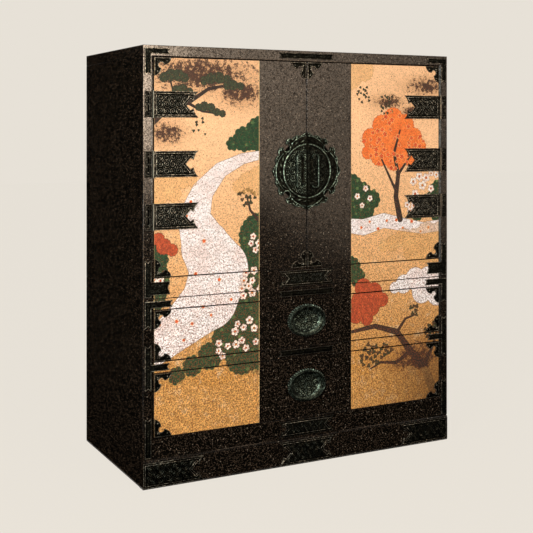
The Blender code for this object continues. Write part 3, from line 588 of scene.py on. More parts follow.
@dataclass(frozen=True)
class Studio:
    """Pale floor, soft lamps, cards and flags that only the gloss sees, and the camera."""

    paper: str = "#E7E1D7"
    floor_reach: float = 14.0
    floor_z: float = -0.001
    flag_z: float = 0.004
    camera_place: Place = (-1.343, -2.5935, 0.876)
    camera_turn: float = -27.28
    lens: float = 70.21
    sensor: float = 36.0
    shift_y: float = -0.2584

    def pale_where_seen(self, add: AddNode) -> bpy.types.Node:
        """Node that is 1 for camera, glossy and transmission rays, and 0 for others."""
        rays = add("LightPath", {}).outputs
        seen = add("Math", {0: rays["Is Camera Ray"], 1: rays["Is Glossy Ray"]}, operation="MAXIMUM")
        return add("Math", {0: seen, 1: rays["Is Transmission Ray"]}, operation="MAXIMUM")

    def world(self) -> None:
        """Pale all round where it is seen, and a weak even light otherwise."""
        world = bpy.data.worlds.new("studio")
        world.use_nodes = True
        world.node_tree.nodes.clear()
        add = partial(add_node, world.node_tree)
        even = add("Background", {"Color": "#F4F1EC", "Strength": 0.40})
        paper = add("Background", {"Color": self.paper, "Strength": 1.0})
        mix = add("MixShader", {0: self.pale_where_seen(add), 1: even, 2: paper})
        add("OutputWorld", {"Surface": mix})
        bpy.context.scene.world = world

    def sheet(self, name: str, low: Place, high: Place, material: bpy.types.Material,
              gloss_only: bool = True) -> None:
        """Flat sheet of the studio, level or upright.

        Args:
            name: Name of the object.
            low: Its corner with the least x, y and z.
            high: Its corner with the greatest.
            material: Its finish.
            gloss_only: Whether only reflections see it.
        """
        (x0, y0, z0), (x1, y1, z1) = low, high
        mesh = bpy.data.meshes.new(name)
        mesh.from_pydata([(x0, y0, z0), (x1, y0, z0), (x1, y1, z1), (x0, y1, z1)], [], [[0, 1, 2, 3]])
        mesh.materials.append(material)
        item = bpy.data.objects.new(name, mesh)
        bpy.context.scene.collection.objects.link(item)
        item.visible_camera = item.visible_diffuse = item.visible_shadow = not gloss_only

    def floor(self) -> None:
        """Paper floor: mostly its own pale tone where seen, with a share of lit paper for the shadow."""
        material, add = new_material("floor_paper")
        lit = add("BsdfDiffuse", {"Color": "#8A857D"})
        share = add("BsdfDiffuse", {"Color": tuple(0.05 * c for c in linear(self.paper)[:3]) + (1,)})
        glow = add("Emission", {"Color": self.paper, "Strength": 0.974})
        seen = add("AddShader", {0: share, 1: glow})
        mix = add("MixShader", {0: self.pale_where_seen(add), 1: lit, 2: seen})
        add("OutputMaterial", {"Surface": mix})
        reach, z = self.floor_reach, self.floor_z
        self.sheet("floor", (-reach, -reach, z), (reach, reach, z), material, False)

    def flags(self) -> None:
        """Black flags, so that the side and the foot of the front stay dark in the gloss."""
        material, add = new_material("black_flag")
        shader = add("BsdfPrincipled", {"Base Color": "#050505", "Specular IOR Level": 0.0})
        add("OutputMaterial", {"Surface": shader})
        z = self.flag_z
        self.sheet("floor_flag", (-1.6, -0.3, z), (-0.44, 1.0, z), material)
        self.sheet("front_flag", (-0.9, -5.5, z), (5.0, -0.20, z), material)
        self.sheet("back_flag", (-1.6, 1.0, 0.0), (-0.5, 1.0, 2.0), material)

    def reflector(self) -> None:
        """Bright card in front on the right: strongest at its left, ending low down."""
        material, add = new_material("bright_card")
        parts = add("SeparateXYZ", {"Vector": add("TexCoord", {}).outputs["Object"]}).outputs
        x, z = parts["X"], parts["Z"]
        near = add("MapRange", {"Value": x, "From Min": 0.8, "From Max": 1.2, "To Min": 19.0, "To Max": 3.5},
                   interpolation_type="SMOOTHSTEP")
        far, start, blur, rise = (
            add("MapRange", {"Value": value, "From Min": low, "From Max": high, "To Min": least,
                             "To Max": most})
            for value, low, high, least, most in (
                (x, 1.2, 3.1, 1.0, 0.4), (x, 1.6, 2.3, 0.34, -0.25), (x, 0.85, 1.7, 1.0, 0.52),
                (z, 0.8, 1.4, 0.78, 1.1)))
        foot = add("MapRange", {"Value": z, "From Min": start, "From Max": blur},
                   interpolation_type="SMOOTHSTEP")
        across = add("Math", {0: near, 1: far}, operation="MULTIPLY")
        shade = add("Math", {0: foot, 1: rise}, operation="MULTIPLY")
        power = add("Math", {0: across, 1: shade}, operation="MULTIPLY")
        glow = add("Emission", {"Color": "#FFE3C6", "Strength": power})
        add("OutputMaterial", {"Surface": glow})
        self.sheet("bright_card", (0.3, -3.7, 0.0), (3.8, -3.7, 1.65), material)

    def card(self, name: str, low: Place, high: Place, tint: str, strength: float) -> None:
        """Card that glows evenly.

        Args:
            name: Name of the card and its finish.
            low: Its corner with the least x, y and z.
            high: Its corner with the greatest.
            tint: Colour of its glow.
            strength: Strength of its glow.
        """
        material, add = new_material(name)
        glow = add("Emission", {"Color": tint, "Strength": strength})
        add("OutputMaterial", {"Surface": glow})
        self.sheet(name, low, high, material)

    def lamp(self, name: str, place: Place, aim: Place, size: float, power: float, tint: str) -> None:
        """Square soft lamp.

        Args:
            name: Name of the lamp.
            place: Where it hangs.
            aim: Point that it faces.
            size: Length of its side in metres.
            power: Power in watts.
            tint: Colour of its light.
        """
        light = bpy.data.lights.new(name, "AREA")
        light.shape = "SQUARE"
        light.size = size
        light.energy = power
        light.color = linear(tint)[:3]
        item = bpy.data.objects.new(name, light)
        bpy.context.scene.collection.objects.link(item)
        item.location = place
        away = np.asarray(place) - np.asarray(aim)
        item.rotation_euler = (math.atan2(np.hypot(away[0], away[1]), away[2]), 0.0,
                               math.atan2(away[0], -away[1]))

    def camera(self) -> None:
        """Level camera at the left of the front."""
        data = bpy.data.cameras.new("camera")
        data.lens = self.lens
        data.sensor_width = self.sensor
        data.shift_y = self.shift_y
        item = bpy.data.objects.new("camera", data)
        item.location = self.camera_place
        item.rotation_euler = (math.pi / 2, 0.0, math.radians(self.camera_turn))
        bpy.context.scene.collection.objects.link(item)
        bpy.context.scene.camera = item

    def build(self) -> None:
        """Set up the studio; the strip lights the iron's left slopes, and the hood dims the top's gloss."""
        bpy.context.scene.view_settings.view_transform = "Standard"
        self.world()
        self.floor()
        self.flags()
        self.reflector()
        self.card("bright_strip", (-1.5, -3.3, 0.3), (-0.5, -3.3, 1.6), "#EAF4EC", 15.0)
        self.card("dim_hood", (-1.1, -0.65, 1.17), (1.1, 0.75, 1.17), "#FFF6EA", 0.25)
        self.lamp("key_lamp", (-2.7, -2.4, 1.5), (0.0, 0.0, 0.65), 1.0, 97.0, "#FFF6EA")
        self.lamp("front_lamp", (0.6, -3.4, 2.4), (0.0, 0.0, 0.7), 1.6, 42.0, "#FFF3E4")
        self.camera()


class EndCut(Enum):
    """Ways in which the end of an iron plate is cut."""

    SQUARE = "square"
    FISHTAIL = "fishtail"
    CUSPED = "cusped"


FISHTAIL_NOTCH = 6.0
CUSPED_CORNERS = ((0.0, -1.0), (-0.40, -0.30), (-0.66, -0.45), (-1.06, 0.0))
CUSPED_BULGE = 0.09
CUSPED_SHARES = (0.0, 0.45, 0.6, 1.0)
CUSPED_SETBACKS = (1.06, 0.66, 0.42, 0.0)


@dataclass(frozen=True)
class Bar:
    """Straight iron plate with cut ends: its tips, its middle height and half its height (millimetres)."""

    left: float
    right: float
    z: float
    half: float
    left_cut: EndCut = EndCut.CUSPED
    right_cut: EndCut = EndCut.CUSPED

    def end(self, cut: EndCut, steps: int) -> Array:
        """End towards +X, from its lower corner to its upper one, with its tips at x = 0.

        A cusped end has a horn, a scooped arc to a cusp, a shoulder and a deep notch, and mirrors them above.

        Args:
            cut: Kind of end.
            steps: Points of each scooped arc.

        Returns:
            (n, 2) points in millimetres.
        """
        if cut is EndCut.SQUARE:
            return np.array([[0.0, -self.half], [0.0, self.half]])
        if cut is EndCut.FISHTAIL:
            return np.array([[0.0, -self.half], [-FISHTAIL_NOTCH, 0.0], [0.0, self.half]])
        horn, cusp, shoulder, deepest = np.array(CUSPED_CORNERS) * self.half
        scoop = arc(horn, cusp, CUSPED_BULGE * self.half, steps) if steps > 1 else cusp[None, :]
        lower = np.concatenate([horn[None, :], scoop, shoulder[None, :]])
        return np.concatenate([lower, deepest[None, :], lower[::-1] * np.array([1.0, -1.0])])

    def setback(self, cut: EndCut, offset: Array) -> Array:
        """How far back from its tips an end lies, along straight lines by its corners.

        Args:
            cut: Kind of end.
            offset: Distance from the middle line in millimetres.

        Returns:
            Distances in millimetres.
        """
        share = np.abs(offset) / self.half
        if cut is EndCut.SQUARE:
            return 0 * share
        if cut is EndCut.FISHTAIL:
            return FISHTAIL_NOTCH * (1 - share)
        return self.half * np.interp(share, CUSPED_SHARES, CUSPED_SETBACKS)

    def outline(self, steps: int = 3) -> Array:
        """Outline in metres, anticlockwise; its left end is a right end turned half round."""
        right, left = self.end(self.right_cut, steps), self.end(self.left_cut, steps)
        return np.concatenate([right + [self.right, self.z], left * -1 + [self.left, self.z]]) * MM

    def row_ends(self, height: Array, rim: float) -> tuple[Array, Array]:
        """Left and right end in metres of rows at a height in metres, a rim inside its cuts."""
        offset = height / MM - self.z
        return ((self.left + rim + self.setback(self.left_cut, offset)) * MM,
                (self.right - rim - self.setback(self.right_cut, offset)) * MM)


def scrollwork(pitch: float, cell: float) -> Callable[[Array, Array], Array]:
    """Chased scroll pattern: spirals in square cells that turn left and right by turns.

    In a cell, height is a wave of the distance from its middle, less the angle round it.

    Args:
        pitch: Distance between turns in millimetres.
        cell: Side of a cell in millimetres.

    Returns:
        Function that gives a height from 0 to 1 from x and z in metres.
    """
    def height(x: Array, z: Array) -> Array:
        """Height of the scrolls at places."""
        column, row = np.floor(x / (cell * MM)), np.floor(z / (cell * MM))
        dx, dz = x / MM - (column + 0.5) * cell, z / MM - (row + 0.5) * cell
        hand = 1 - 2 * ((column + row) % 2)
        wave = np.cos(2 * math.pi * np.hypot(dx, dz) / pitch - hand * np.arctan2(dz, dx))
        return np.clip(0.5 + 0.75 * wave, 0, 1)
    return height


PLATE_BORDER: Profile = ((-0.25, -0.2, 0.0), (-0.25, 1.6, 0.4), (0.3, 2.35, 0.9), (0.9, 2.5, 0.6),
                         (1.6, 2.35, 0.2), (2.1, 1.9, -0.9), (3.0, 1.9, -0.6))
SLIM_BORDER: Profile = ((-0.25, -0.2, 0.0), (-0.25, 1.6, 0.1), (0.3, 2.35, 0.3), (0.9, 2.5, 0.2),
                        (1.6, 2.35, 0.1), (2.1, 1.9, -0.9), (3.0, 1.9, -0.6))
STRAP_BORDER: Profile = ((-0.25, 0.2, 0.0), (-0.25, 2.2, 0.2), (0.15, 2.9, 0.5), (1.0, 3.1, 0.5),
                         (1.8, 2.9, 0.3), (2.3, 2.35, -0.9), (3.0, 2.35, -0.5))
BRACKET_BORDER: Profile = ((-0.25, -0.2, 0.0), (-0.25, 1.6, 0.2), (0.1, 2.2, 0.5), (0.8, 2.35, 0.5),
                           (1.4, 2.2, 0.3), (1.8, 1.85, -0.9), (2.3, 1.85, -0.4))
FIELD_STEP = 0.9


@dataclass(frozen=True)
class Chasing:
    """Section of a chased plate: its border, its inner line and the scrolls of its field (millimetres)."""

    border: Profile = PLATE_BORDER
    line_inset: float = 5.0
    line_width: float = 1.5
    line_rise: float = 0.65
    line_base: float = 1.85
    rim: float = 7.0
    ground: float = 1.9
    depth: float = 0.85
    pitch: float = 4.4
    cell: float | None = None
    wear: float = 0.7

    def work(self, front: FrontPlane, bar: Bar) -> Shape:
        """Work a plate; its scrolls fill half its field's height where no cell is given.

        Args:
            front: Plane that the plate lies on.
            bar: Outline of the plate.

        Returns:
            The plate's border, inner line and field.
        """
        line = bar.outline(1)
        line = line + mitres(line, True) * self.line_inset * MM
        rim = self.rim
        field = front.field(
            ((bar.left + rim) * MM, (bar.z - bar.half + rim) * MM),
            ((bar.right - rim) * MM, (bar.z + bar.half - rim) * MM), FIELD_STEP, self.ground, self.depth,
            scrollwork(self.pitch, self.cell or bar.half - rim), lambda height: bar.row_ends(height, rim),
            self.wear)
        return join([front.plate(bar.outline(), self.border),
                     front.bead(line, self.line_width, self.line_rise, self.line_base, True), field])


@dataclass(frozen=True)
class StilePlate:
    """Plate on the left stile: its foot and head, limits of its scrolls, and an arm on a rail (millimetres).

    The arm has a tip, a lower and an upper edge, and a right limit for its scrolls.
    """

    foot: float
    head: float
    notched_foot: bool
    scrolls: tuple[float, float]
    arm: tuple[float, ...] = ()


@dataclass(frozen=True)
class FramePlates:
    """Iron plates of the stiles, the rails and the base, laid over the relief of the boards (millimetres)."""

    front: FrontPlane
    iron: bpy.types.Material
    outer: float = -450.5
    inner: float = -434.5
    middle: float = -442.5
    centre_half: float = 81.0
    slim_half: float = 7.0
    slim_levels: tuple[float, ...] = (1066.0, 447.5, 293.5)
    broad_half: float = 20.0
    broad_levels: tuple[float, ...] = (486.5, 96.0)
    base_half: float = 30.0
    base_z: float = 33.0
    corner_span: tuple[float, float] = (-454.4, -295.0)
    scroll_ground: float = 1.9
    scroll_depth: float = 0.6
    scroll_pitch: float = 3.6
    scroll_cell: float = 9.0
    stile: tuple[StilePlate, ...] = (
        StilePlate(1006.1, 1073, True, (1015, 1070), (-384, 1059, 1073, -393)),
        StilePlate(465.8, 556, False, (469, 547), (-384.7, 471, 502, -394)),
        StilePlate(390.1, 455.5, True, (399, 452.5), (-378.5, 439.5, 455.5, -388)),
        StilePlate(238, 349, True, (247, 340), (-386.7, 285.5, 301.5, -396)),
        StilePlate(74.8, 171, False, (78, 162)))

    def stile_outline(self, plate: StilePlate) -> Array:
        """Outline of a stile plate, anticlockwise; an arm along its head takes the place of a notched head.

        Args:
            plate: The plate's levels and its arm.

        Returns:
            (n, 2) points in metres.
        """
        inner, notch = self.inner, FISHTAIL_NOTCH
        corners = [(self.outer, plate.foot)]
        if plate.notched_foot:
            corners.append((self.middle, plate.foot + notch))
        corners.append((inner, plate.foot))
        reached = plate.foot
        if plate.arm:
            tip, low, reached, _ = plate.arm
            corners += [(inner, low), (tip, low), (tip - notch, (low + reached) / 2), (tip, reached)]
        if plate.foot < reached < plate.head:
            corners.append((inner, reached))
        if reached < plate.head:
            corners += [(inner, plate.head), (self.middle, plate.head - notch)]
        return np.array(corners + [(self.outer, plate.head)], float) * MM

    def scrolls(self, left: float, right: float, bottom: float, top: float) -> Shape:
        """Small scrolls in a slim plate's field, between its left, right, lower and upper limits."""
        low, high = (left * MM, bottom * MM), (right * MM, top * MM)
        return self.front.field(low, high, FIELD_STEP, self.scroll_ground, self.scroll_depth,
                                scrollwork(self.scroll_pitch, self.scroll_cell),
                                lambda height: (low[0] + 0 * height, high[0] + 0 * height))

    def build(self) -> None:
        """Make the plates as four pieces on the carcass."""
        half, rim, tip, lift = self.centre_half, 3.0, 9.0, 4.0
        stiles = [self.front.plate(self.stile_outline(plate), PLATE_BORDER) for plate in self.stile]
        stiles += [self.scrolls(self.outer + rim, self.inner - rim, *plate.scrolls) for plate in self.stile]
        stiles += [self.scrolls(self.inner - rim, right, low + rim, high - rim)
                   for _, low, high, right in (plate.arm for plate in self.stile if plate.arm)]
        fish = EndCut.FISHTAIL
        centres = [self.front.plate(Bar(-half, half, z, self.slim_half, fish, fish).outline(), SLIM_BORDER)
                   for z in self.slim_levels]
        centres += [self.scrolls(tip - half, half - tip, z - lift, z + lift) for z in self.slim_levels]
        centres += [Chasing(SLIM_BORDER).work(self.front, Bar(-half, half, z, self.broad_half))
                    for z in self.broad_levels]
        corner, centre = (
            Chasing().work(self.front, Bar(*tips, self.base_z, self.base_half, cut))
            for tips, cut in ((self.corner_span, EndCut.SQUARE), ((-half, half), EndCut.CUSPED)))
        left = join(stiles)
        for name, shape in (("left_stile_plates", left), ("right_stile_plates", left.mirrored()),
                            ("centre_plates", join(centres)),
                            ("base_plates", join([corner, corner.mirrored(), centre]))):
            make_piece(name, shape, self.iron, Body.CARCASS)


@dataclass(frozen=True)
class EdgeStrips:
    """Slim rounded edges of the stiles, the top rail and the base, in a lighter lacquer as painted highlights
    (millimetres).
    """

    front: FrontPlane
    # rubbed is the lighter lacquer of the strips, which paints highlights on them.
    rubbed: bpy.types.Material
    dull: bpy.types.Material
    inner: float = 431.0
    top: float = 1054.8
    bottom: float = 514.0
    wide: float = 4.4
    rise: float = 0.4
    outer: float = 453.5
    outer_ends: tuple[float, float] = (1078.0, 74.0)
    outer_wide: float = 2.6
    outer_rise: float = 0.2
    base_line: tuple[float, ...] = (-292.0, -188.0, -84.0)
    base_z: float = 70.5
    base_wide: float = 2.2
    base_rise: float = 0.5
    sunk: float = -0.1
    lining: tuple[float, float] = (428.1, 433.2)
    lining_proud: tuple[float, float] = (-2.8, 0.12)

    def build(self) -> None:
        """Make the half-round strips, lighter as painted highlights, in one piece, and a dull lining on the
        right stile's bevel.

        A point of the lining goes from the bevel's deep edge to its front edge in step with its place across.
        """
        x, low, high = self.inner * MM, self.bottom * MM, self.top * MM
        steps = np.linspace(0, 1, 3)
        head, foot = self.outer_ends
        stile = np.stack([np.full(3, -x), high + (low - high) * steps], axis=1)
        rail = np.stack([-x + 2 * x * steps, np.full(3, high)], axis=1)
        corner = np.stack([np.full(3, -self.outer * MM), (head - (head - foot) * steps) * MM], axis=1)
        base = np.stack([np.array(self.base_line) * MM, np.full(3, self.base_z * MM)], axis=1)
        other = np.array([-1, 1])
        strips = [(path, self.wide, self.rise) for path in (stile, rail)]
        strips += [(path, self.outer_wide, self.outer_rise) for path in (corner, corner * other)]
        strips += [(path, self.base_wide, self.base_rise) for path in (base, base * other)]
        # The strips take the lighter lacquer: painted highlights along the edges.
        beads = [self.front.bead(path, wide, rise, self.sunk) for path, wide, rise in strips]
        make_piece("opening_edges", join(beads), self.rubbed, Body.CARCASS)
        share, (near, far), (deep, flush) = np.linspace(0, 1, 4)[None, :], self.lining, self.lining_proud
        points = self.front.place((near + (far - near) * share) * MM, np.linspace(low, high, 3)[:, None],
                                  (deep + (flush - deep) * share) * MM)
        make_piece("right_opening_edge", Shape(points, grid_faces(3, 4), np.zeros(len(points))), self.dull,
                   Body.CARCASS)


@dataclass(frozen=True)
class CornerBrackets:
    """Scalloped iron brackets on the corners of the doors and the drawer fronts (millimetres).

    A nail has a radius and a base height, and the swept line has a width, a rise and a base height.
    """

    front: FrontPlane
    iron: bpy.types.Material
    size: float = 44.0
    inset: float = 1.4
    cusp: tuple[float, float] = (17.2, -25.1)
    lobe: float = -4.4
    notch: float = 12.8
    nails: Rows = ((8.0, -8.0), (7.5, -33.0), (33.0, -7.5))
    nail: tuple[float, float] = (2.0, 1.8)
    sweep_middle: float = 5.0
    sweep_radius: float = 8.0
    sweep_line: tuple[float, float, float] = (1.6, 0.8, 1.8)

    def bracket(self) -> Shape:
        """Upper left bracket with its corner at the origin: a lobe, a round notch and a lobe, with a boss."""
        cusp, other = np.array(self.cusp), -np.array(self.cusp[::-1])
        ends = np.array([[0.0, 0.0], [0.0, -self.size]])
        outline = np.concatenate([
            ends, arc(ends[1], cusp, self.lobe, 4), arc(cusp, other, self.notch, 7)[:-1], other[None, :],
            arc(other, np.array([self.size, 0.0]), self.lobe, 4)])
        plate = self.front.plate(outline * MM, BRACKET_BORDER)
        turn = np.linspace(0, -math.pi / 2, 9)
        middle, radius = self.sweep_middle, self.sweep_radius
        sweep = np.stack([middle + radius * np.cos(turn), -middle + radius * np.sin(turn)], axis=1) * MM
        boss = self.front.nails(np.array(self.nails) * MM, *self.nail)
        return join([plate, self.front.bead(sweep, *self.sweep_line), boss])

    def corners(self, left: float, right: float, bottom: float, top: float) -> Shape:
        """Four brackets on a board, turned by mirroring.

        Args:
            left: Left edge of the board in metres.
            right: Right edge.
            bottom: Lower edge.
            top: Upper edge.

        Returns:
            One shape with the four brackets.
        """
        one, gap = self.bracket(), self.inset * MM
        shapes = []
        for side, x in ((1, left + gap), (-1, right - gap)):
            for rise, z in ((1, top - gap), (-1, bottom + gap)):
                faces = one.faces if side * rise > 0 else [face[::-1] for face in one.faces]
                shapes.append(Shape(one.points * np.array([side, 1.0, rise]), faces, one.relief).moved(x, z))
        return join(shapes)

    def build(self) -> None:
        """Make one piece of four brackets for each door and each drawer."""
        for name, node, body in (("left_door_brackets", "left_door", Body.LEFT_DOOR),
                                 ("right_door_brackets", "right_door", Body.RIGHT_DOOR),
                                 ("upper_drawer_brackets", "upper_drawer_front", Body.UPPER_DRAWER),
                                 ("lower_drawer_brackets", "lower_drawer_front", Body.LOWER_DRAWER)):
            low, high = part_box(node)
            shape = self.corners(low.x, high.x, low.z, high.z)
            make_piece(name, shape, self.iron, body)


@dataclass(frozen=True)
class StrapHinges:
    """Faces of the six strap hinges: chased straps with nails, and lined leaves (millimetres).

    A nail has a radius and a base height, and a line has a width, a rise and a base height.
    """

    front: FrontPlane
    iron: bpy.types.Material
    dark_leaf_iron: bpy.types.Material
    levels: tuple[float, ...] = (936.0, 789.5, 661.0)
    half: float = 32.0
    strap_left: float = -426.2
    strap_tip: float = -310.0
    leaf_left: float = -450.5
    leaf_right: float = -433.6
    chasing: Chasing = Chasing(STRAP_BORDER, line_inset=5.6, line_width=1.7, line_rise=0.75, line_base=2.3,
                               rim=8.0, ground=2.35, depth=0.95, pitch=4.6, cell=16.0, wear=0.9)
    strap_nails: Rows = ((-14.0, 18.5), (-14.0, -18.5), (-44.0, 0.0))
    strap_nail: tuple[float, float] = (2.6, 2.7)
    leaf_nails: tuple[float, ...] = (-20, 0, 20)
    leaf_nail: tuple[float, float] = (1.9, 2.3)
    leaf_line: tuple[float, float, float] = (1.4, 0.6, 2.3)
    leaf_line_inset: float = 4.6

    def strap(self, z: float) -> Shape:
        """Left strap at one level."""
        bar = Bar(self.strap_left, self.strap_tip, z, self.half, EndCut.SQUARE)
        places = np.array(self.strap_nails) + [self.strap_tip, z]
        return join([self.chasing.work(self.front, bar), self.front.nails(places * MM, *self.strap_nail)])

    def leaf(self, z: float) -> Shape:
        """Left leaf at one level."""
        square = EndCut.SQUARE
        outline = Bar(self.leaf_left, self.leaf_right, z, self.half, square, square).outline()
        line = outline + mitres(outline, True) * self.leaf_line_inset * MM
        middle = (self.leaf_left + self.leaf_right) / 2
        places = np.array([[middle, z + rise] for rise in self.leaf_nails])
        nails = self.front.nails(places * MM, *self.leaf_nail)
        plate = self.front.plate(outline, STRAP_BORDER)
        return join([plate, self.front.bead(line, *self.leaf_line, True), nails])

    def build(self) -> None:
        """Make the straps on the doors and the leaves on the stiles."""
        straps = join([self.strap(z) for z in self.levels])
        leaves = join([self.leaf(z) for z in self.levels])
        for side, body, shape, leaf in (("left", Body.LEFT_DOOR, straps, leaves),
                                        ("right", Body.RIGHT_DOOR, straps.mirrored(), leaves.mirrored())):
            make_piece(f"{side}_strap_faces", shape, self.iron, body)
            make_piece(f"{side}_leaf_faces", leaf, self.dark_leaf_iron, Body.CARCASS)


@dataclass(frozen=True)
class LockPlate:
    """Chasing of the cloud-shaped lock plate, and its bails, for each half (millimetres and degrees).

    A nail has a reach from the middle and a radius, and a moulding has a width and a rise.
    """

    front: FrontPlane
    iron: bpy.types.Material
    z: float = 765.5
    top: float = 2.8
    sunk: float = 0.1
    ring: float = 70.0
    gap: float = 1.0
    cusp: float = 94.0
    point_half: float = 12.0
    point_rise: float = 8.0
    lobe_turn: float = 15.0
    lobe_rises: tuple[float, float] = (4.5, 7.5)
    rim_spans: Rows = ((91.2, 131.2), (138.8, 221.2), (228.8, 268.8))
    garland_spans: Rows = ((91.2, 124.0), (146.0, 214.0), (236.0, 268.8))
    band_span: tuple[float, float] = (74.5, 84.0)
    band_turns: tuple[float, float] = (91.2, 268.8)
    notch_reach: float = 86.0
    notch: float = 9.5
    notch_bead: float = 1.3
    notch_turns: tuple[float, float] = (135.0, 225.0)
    lobe_nails: tuple[float, ...] = (125.5, 144.5, 215.5, 234.5)
    small_nails: tuple[float, ...] = (109.5, 160.5, 199.5, 250.5)
    lobe_nail: tuple[float, float] = (95.0, 3.6)
    small_nail: tuple[float, float] = (93.3, 2.4)
    ring_moulding: tuple[float, float] = (4.6, 2.3)
    rim_moulding: tuple[float, float] = (2.6, 1.1)
    rim_inset: float = 1.5
    notch_moulding: tuple[float, float] = (2.2, 1.1)
    garland_moulding: tuple[float, float] = (2.8, 1.3)
    garland_reach: float = 92.0
    garland_sag: float = 8.0
    garland_turn: float = 34.0
    # Painted shade: the right half's relief is lowered so that less worn colour shows there.
    right_painted_shade: float = -0.3
    bail_x: float = -14.0
    bail_proud: float = 7.5
    bail_rod: float = 1.8

    @staticmethod
    def off_axis(degrees: Array) -> Array:
        """Angle from the nearest upright or level axis."""
        return np.abs((degrees + 45) % 90 - 45)

    def rim(self, degrees: Array) -> Array:
        """Radius of the cloud outline: a straight point on each axis, then a small and a large round lobe."""
        across, tip, lobe = self.off_axis(degrees), self.point_half, self.lobe_turn
        point = self.cusp + self.point_rise * (1 - across / tip)
        small, large = (self.cusp + rise * np.sin(math.pi * (across - start) / lobe)
                        for rise, start in zip(self.lobe_rises, (tip, tip + lobe)))
        return np.select([across <= tip, across <= tip + lobe, across <= tip + 2 * lobe],
                         [point, small, large], self.cusp)

    def garland(self, degrees: Array) -> Array:
        """Radius of a garland, which sags with the square of the angle from an axis."""
        return self.garland_reach - self.garland_sag * (self.off_axis(degrees) / self.garland_turn) ** 2

    def polar(self, radius: Array, degrees: Array) -> Array:
        """Points at radii and angles about the plate's middle, in metres."""
        turn = np.radians(degrees)
        return np.stack([radius * np.cos(turn), self.z + radius * np.sin(turn)], axis=1) * MM

    def sweep(self, start: float, end: float, radius: Callable[[Array], Array], width: float,
              rise: float) -> Shape:
        """Moulding along a curve given by its radius at each angle.

        Args:
            start: First angle in degrees.
            end: Last angle in degrees.
            radius: Radius from the angle.
            width: Width of the moulding.
            rise: Its height over the plate.

        Returns:
            The moulding's shape.
        """
        turn = np.linspace(start, end, max(6, round(abs(end - start) / 2.0)))
        return self.front.bead(self.polar(radius(turn), turn), width, rise, self.top - self.sunk)

    def carved_disc(self) -> Shape:
        """Carved disc inside the ring, left half: scrolls on a polar grid, set off by the gap."""
        rows, columns, reach = 60, 110, self.ring - 4
        radius, turn = np.meshgrid(np.linspace(0.0, reach, rows), np.linspace(90, 270, columns),
                                   indexing="ij")
        x = -self.gap + radius * np.cos(np.radians(turn)) * (1 - self.gap / self.ring)
        z = radius * np.sin(np.radians(turn))
        fade = np.clip((reach - radius) / 3, 0, 1) * np.clip((-x - self.gap) / 2, 0, 1)
        rise = scrollwork(4.8, 17.0)(x * MM, (z + 8.5) * MM) * fade
        points = self.front.place(x * MM, (self.z + z) * MM, (self.top - self.front.sunk + 0.9 * rise) * MM)
        return Shape(points, grid_faces(rows, columns), (1.3 * rise - 0.8).ravel())

    def band(self) -> Shape:
        """Running scroll between the ring and the lobes, left half: a wave that leans with the radius."""
        rows, columns, (low, high) = 9, 200, self.band_span
        radius, turn = np.meshgrid(np.linspace(low, high, rows), np.linspace(*self.band_turns, columns),
                                   indexing="ij")
        middle = 1 - np.abs((radius - (low + high) / 2) / ((high - low) / 2)) ** 2
        near = np.hypot(radius - self.notch_reach, np.radians((turn % 90) - 45) * radius)
        clear = np.clip((near - self.notch - 2) / 2, 0, 1)
        wave = 0.5 + 0.5 * np.cos(np.radians(turn) * 26 + radius * 0.7)
        rise = middle * wave * clear
        points = self.front.place(radius * np.cos(np.radians(turn)) * MM,
                                  (self.z + radius * np.sin(np.radians(turn))) * MM,
                                  (self.top - self.sunk - 0.6 * (clear < 0.01) + 0.8 * rise) * MM)
        return Shape(points, [face[::-1] for face in grid_faces(rows, columns)], (1.5 * rise - 0.9).ravel())

    def notch_rim(self, degrees: float) -> Shape:
        """Moulding round the inner side of the round notch on a diagonal."""
        out, radius = math.radians(degrees), self.notch + self.notch_bead
        turn = out + np.radians(np.linspace(48, 312, 22))
        hole = np.stack([self.notch_reach * math.cos(out) + radius * np.cos(turn),
                         self.z + self.notch_reach * math.sin(out) + radius * np.sin(turn)], axis=1)
        return self.front.bead(hole * MM, *self.notch_moulding, self.top - self.sunk)

    def half(self) -> Shape:
        """All the raised work of the left half."""
        edge = math.degrees(math.asin((self.gap + 1.2) / self.ring))
        ring = self.sweep(90 + edge, 270 - edge, lambda t: np.full_like(t, self.ring), *self.ring_moulding)
        shapes = [self.carved_disc(), self.band(), ring]
        shapes += [self.sweep(*span, lambda t: self.rim(t) - self.rim_inset, *self.rim_moulding)
                   for span in self.rim_spans]
        shapes += [self.sweep(*span, self.garland, *self.garland_moulding) for span in self.garland_spans]
        shapes += [self.notch_rim(degrees) for degrees in self.notch_turns]
        for turns, (reach, radius) in ((self.lobe_nails, self.lobe_nail),
                                       (self.small_nails, self.small_nail)):
            places = self.polar(np.full(len(turns), reach), np.array(turns))
            shapes.append(self.front.nails(places, radius, self.top - self.sunk))
        return join(shapes)

    def bail(self) -> Shape:
        """Left bail: a round rod from its upper eye, out, down and back to its lower eye."""
        bend, reach, tall, eye = 6.0, 18.0, 43.0, 31.0
        turn = np.radians(np.linspace(0, 90, 7))
        near = np.stack([-bend + bend * np.cos(turn), tall - bend + bend * np.sin(turn)], axis=1)
        far = np.stack([-reach + bend - bend * np.sin(turn), tall - bend + bend * np.cos(turn)], axis=1)
        upper = np.concatenate([[[0.0, eye], [0.0, eye + 0.1]], near, far])
        flat = np.concatenate([upper, upper[::-1] * np.array([1.0, -1.0])])
        path = self.front.place((self.bail_x + flat[:, 0]) * MM, (self.z + flat[:, 1]) * MM,
                                self.bail_proud * MM)
        radius = np.full(len(path), self.bail_rod * MM)
        radius[[0, -1]] = 0.0
        return tube(path, np.array([0.0, -1.0, 0.0]), radius, 12, False, 0.4)

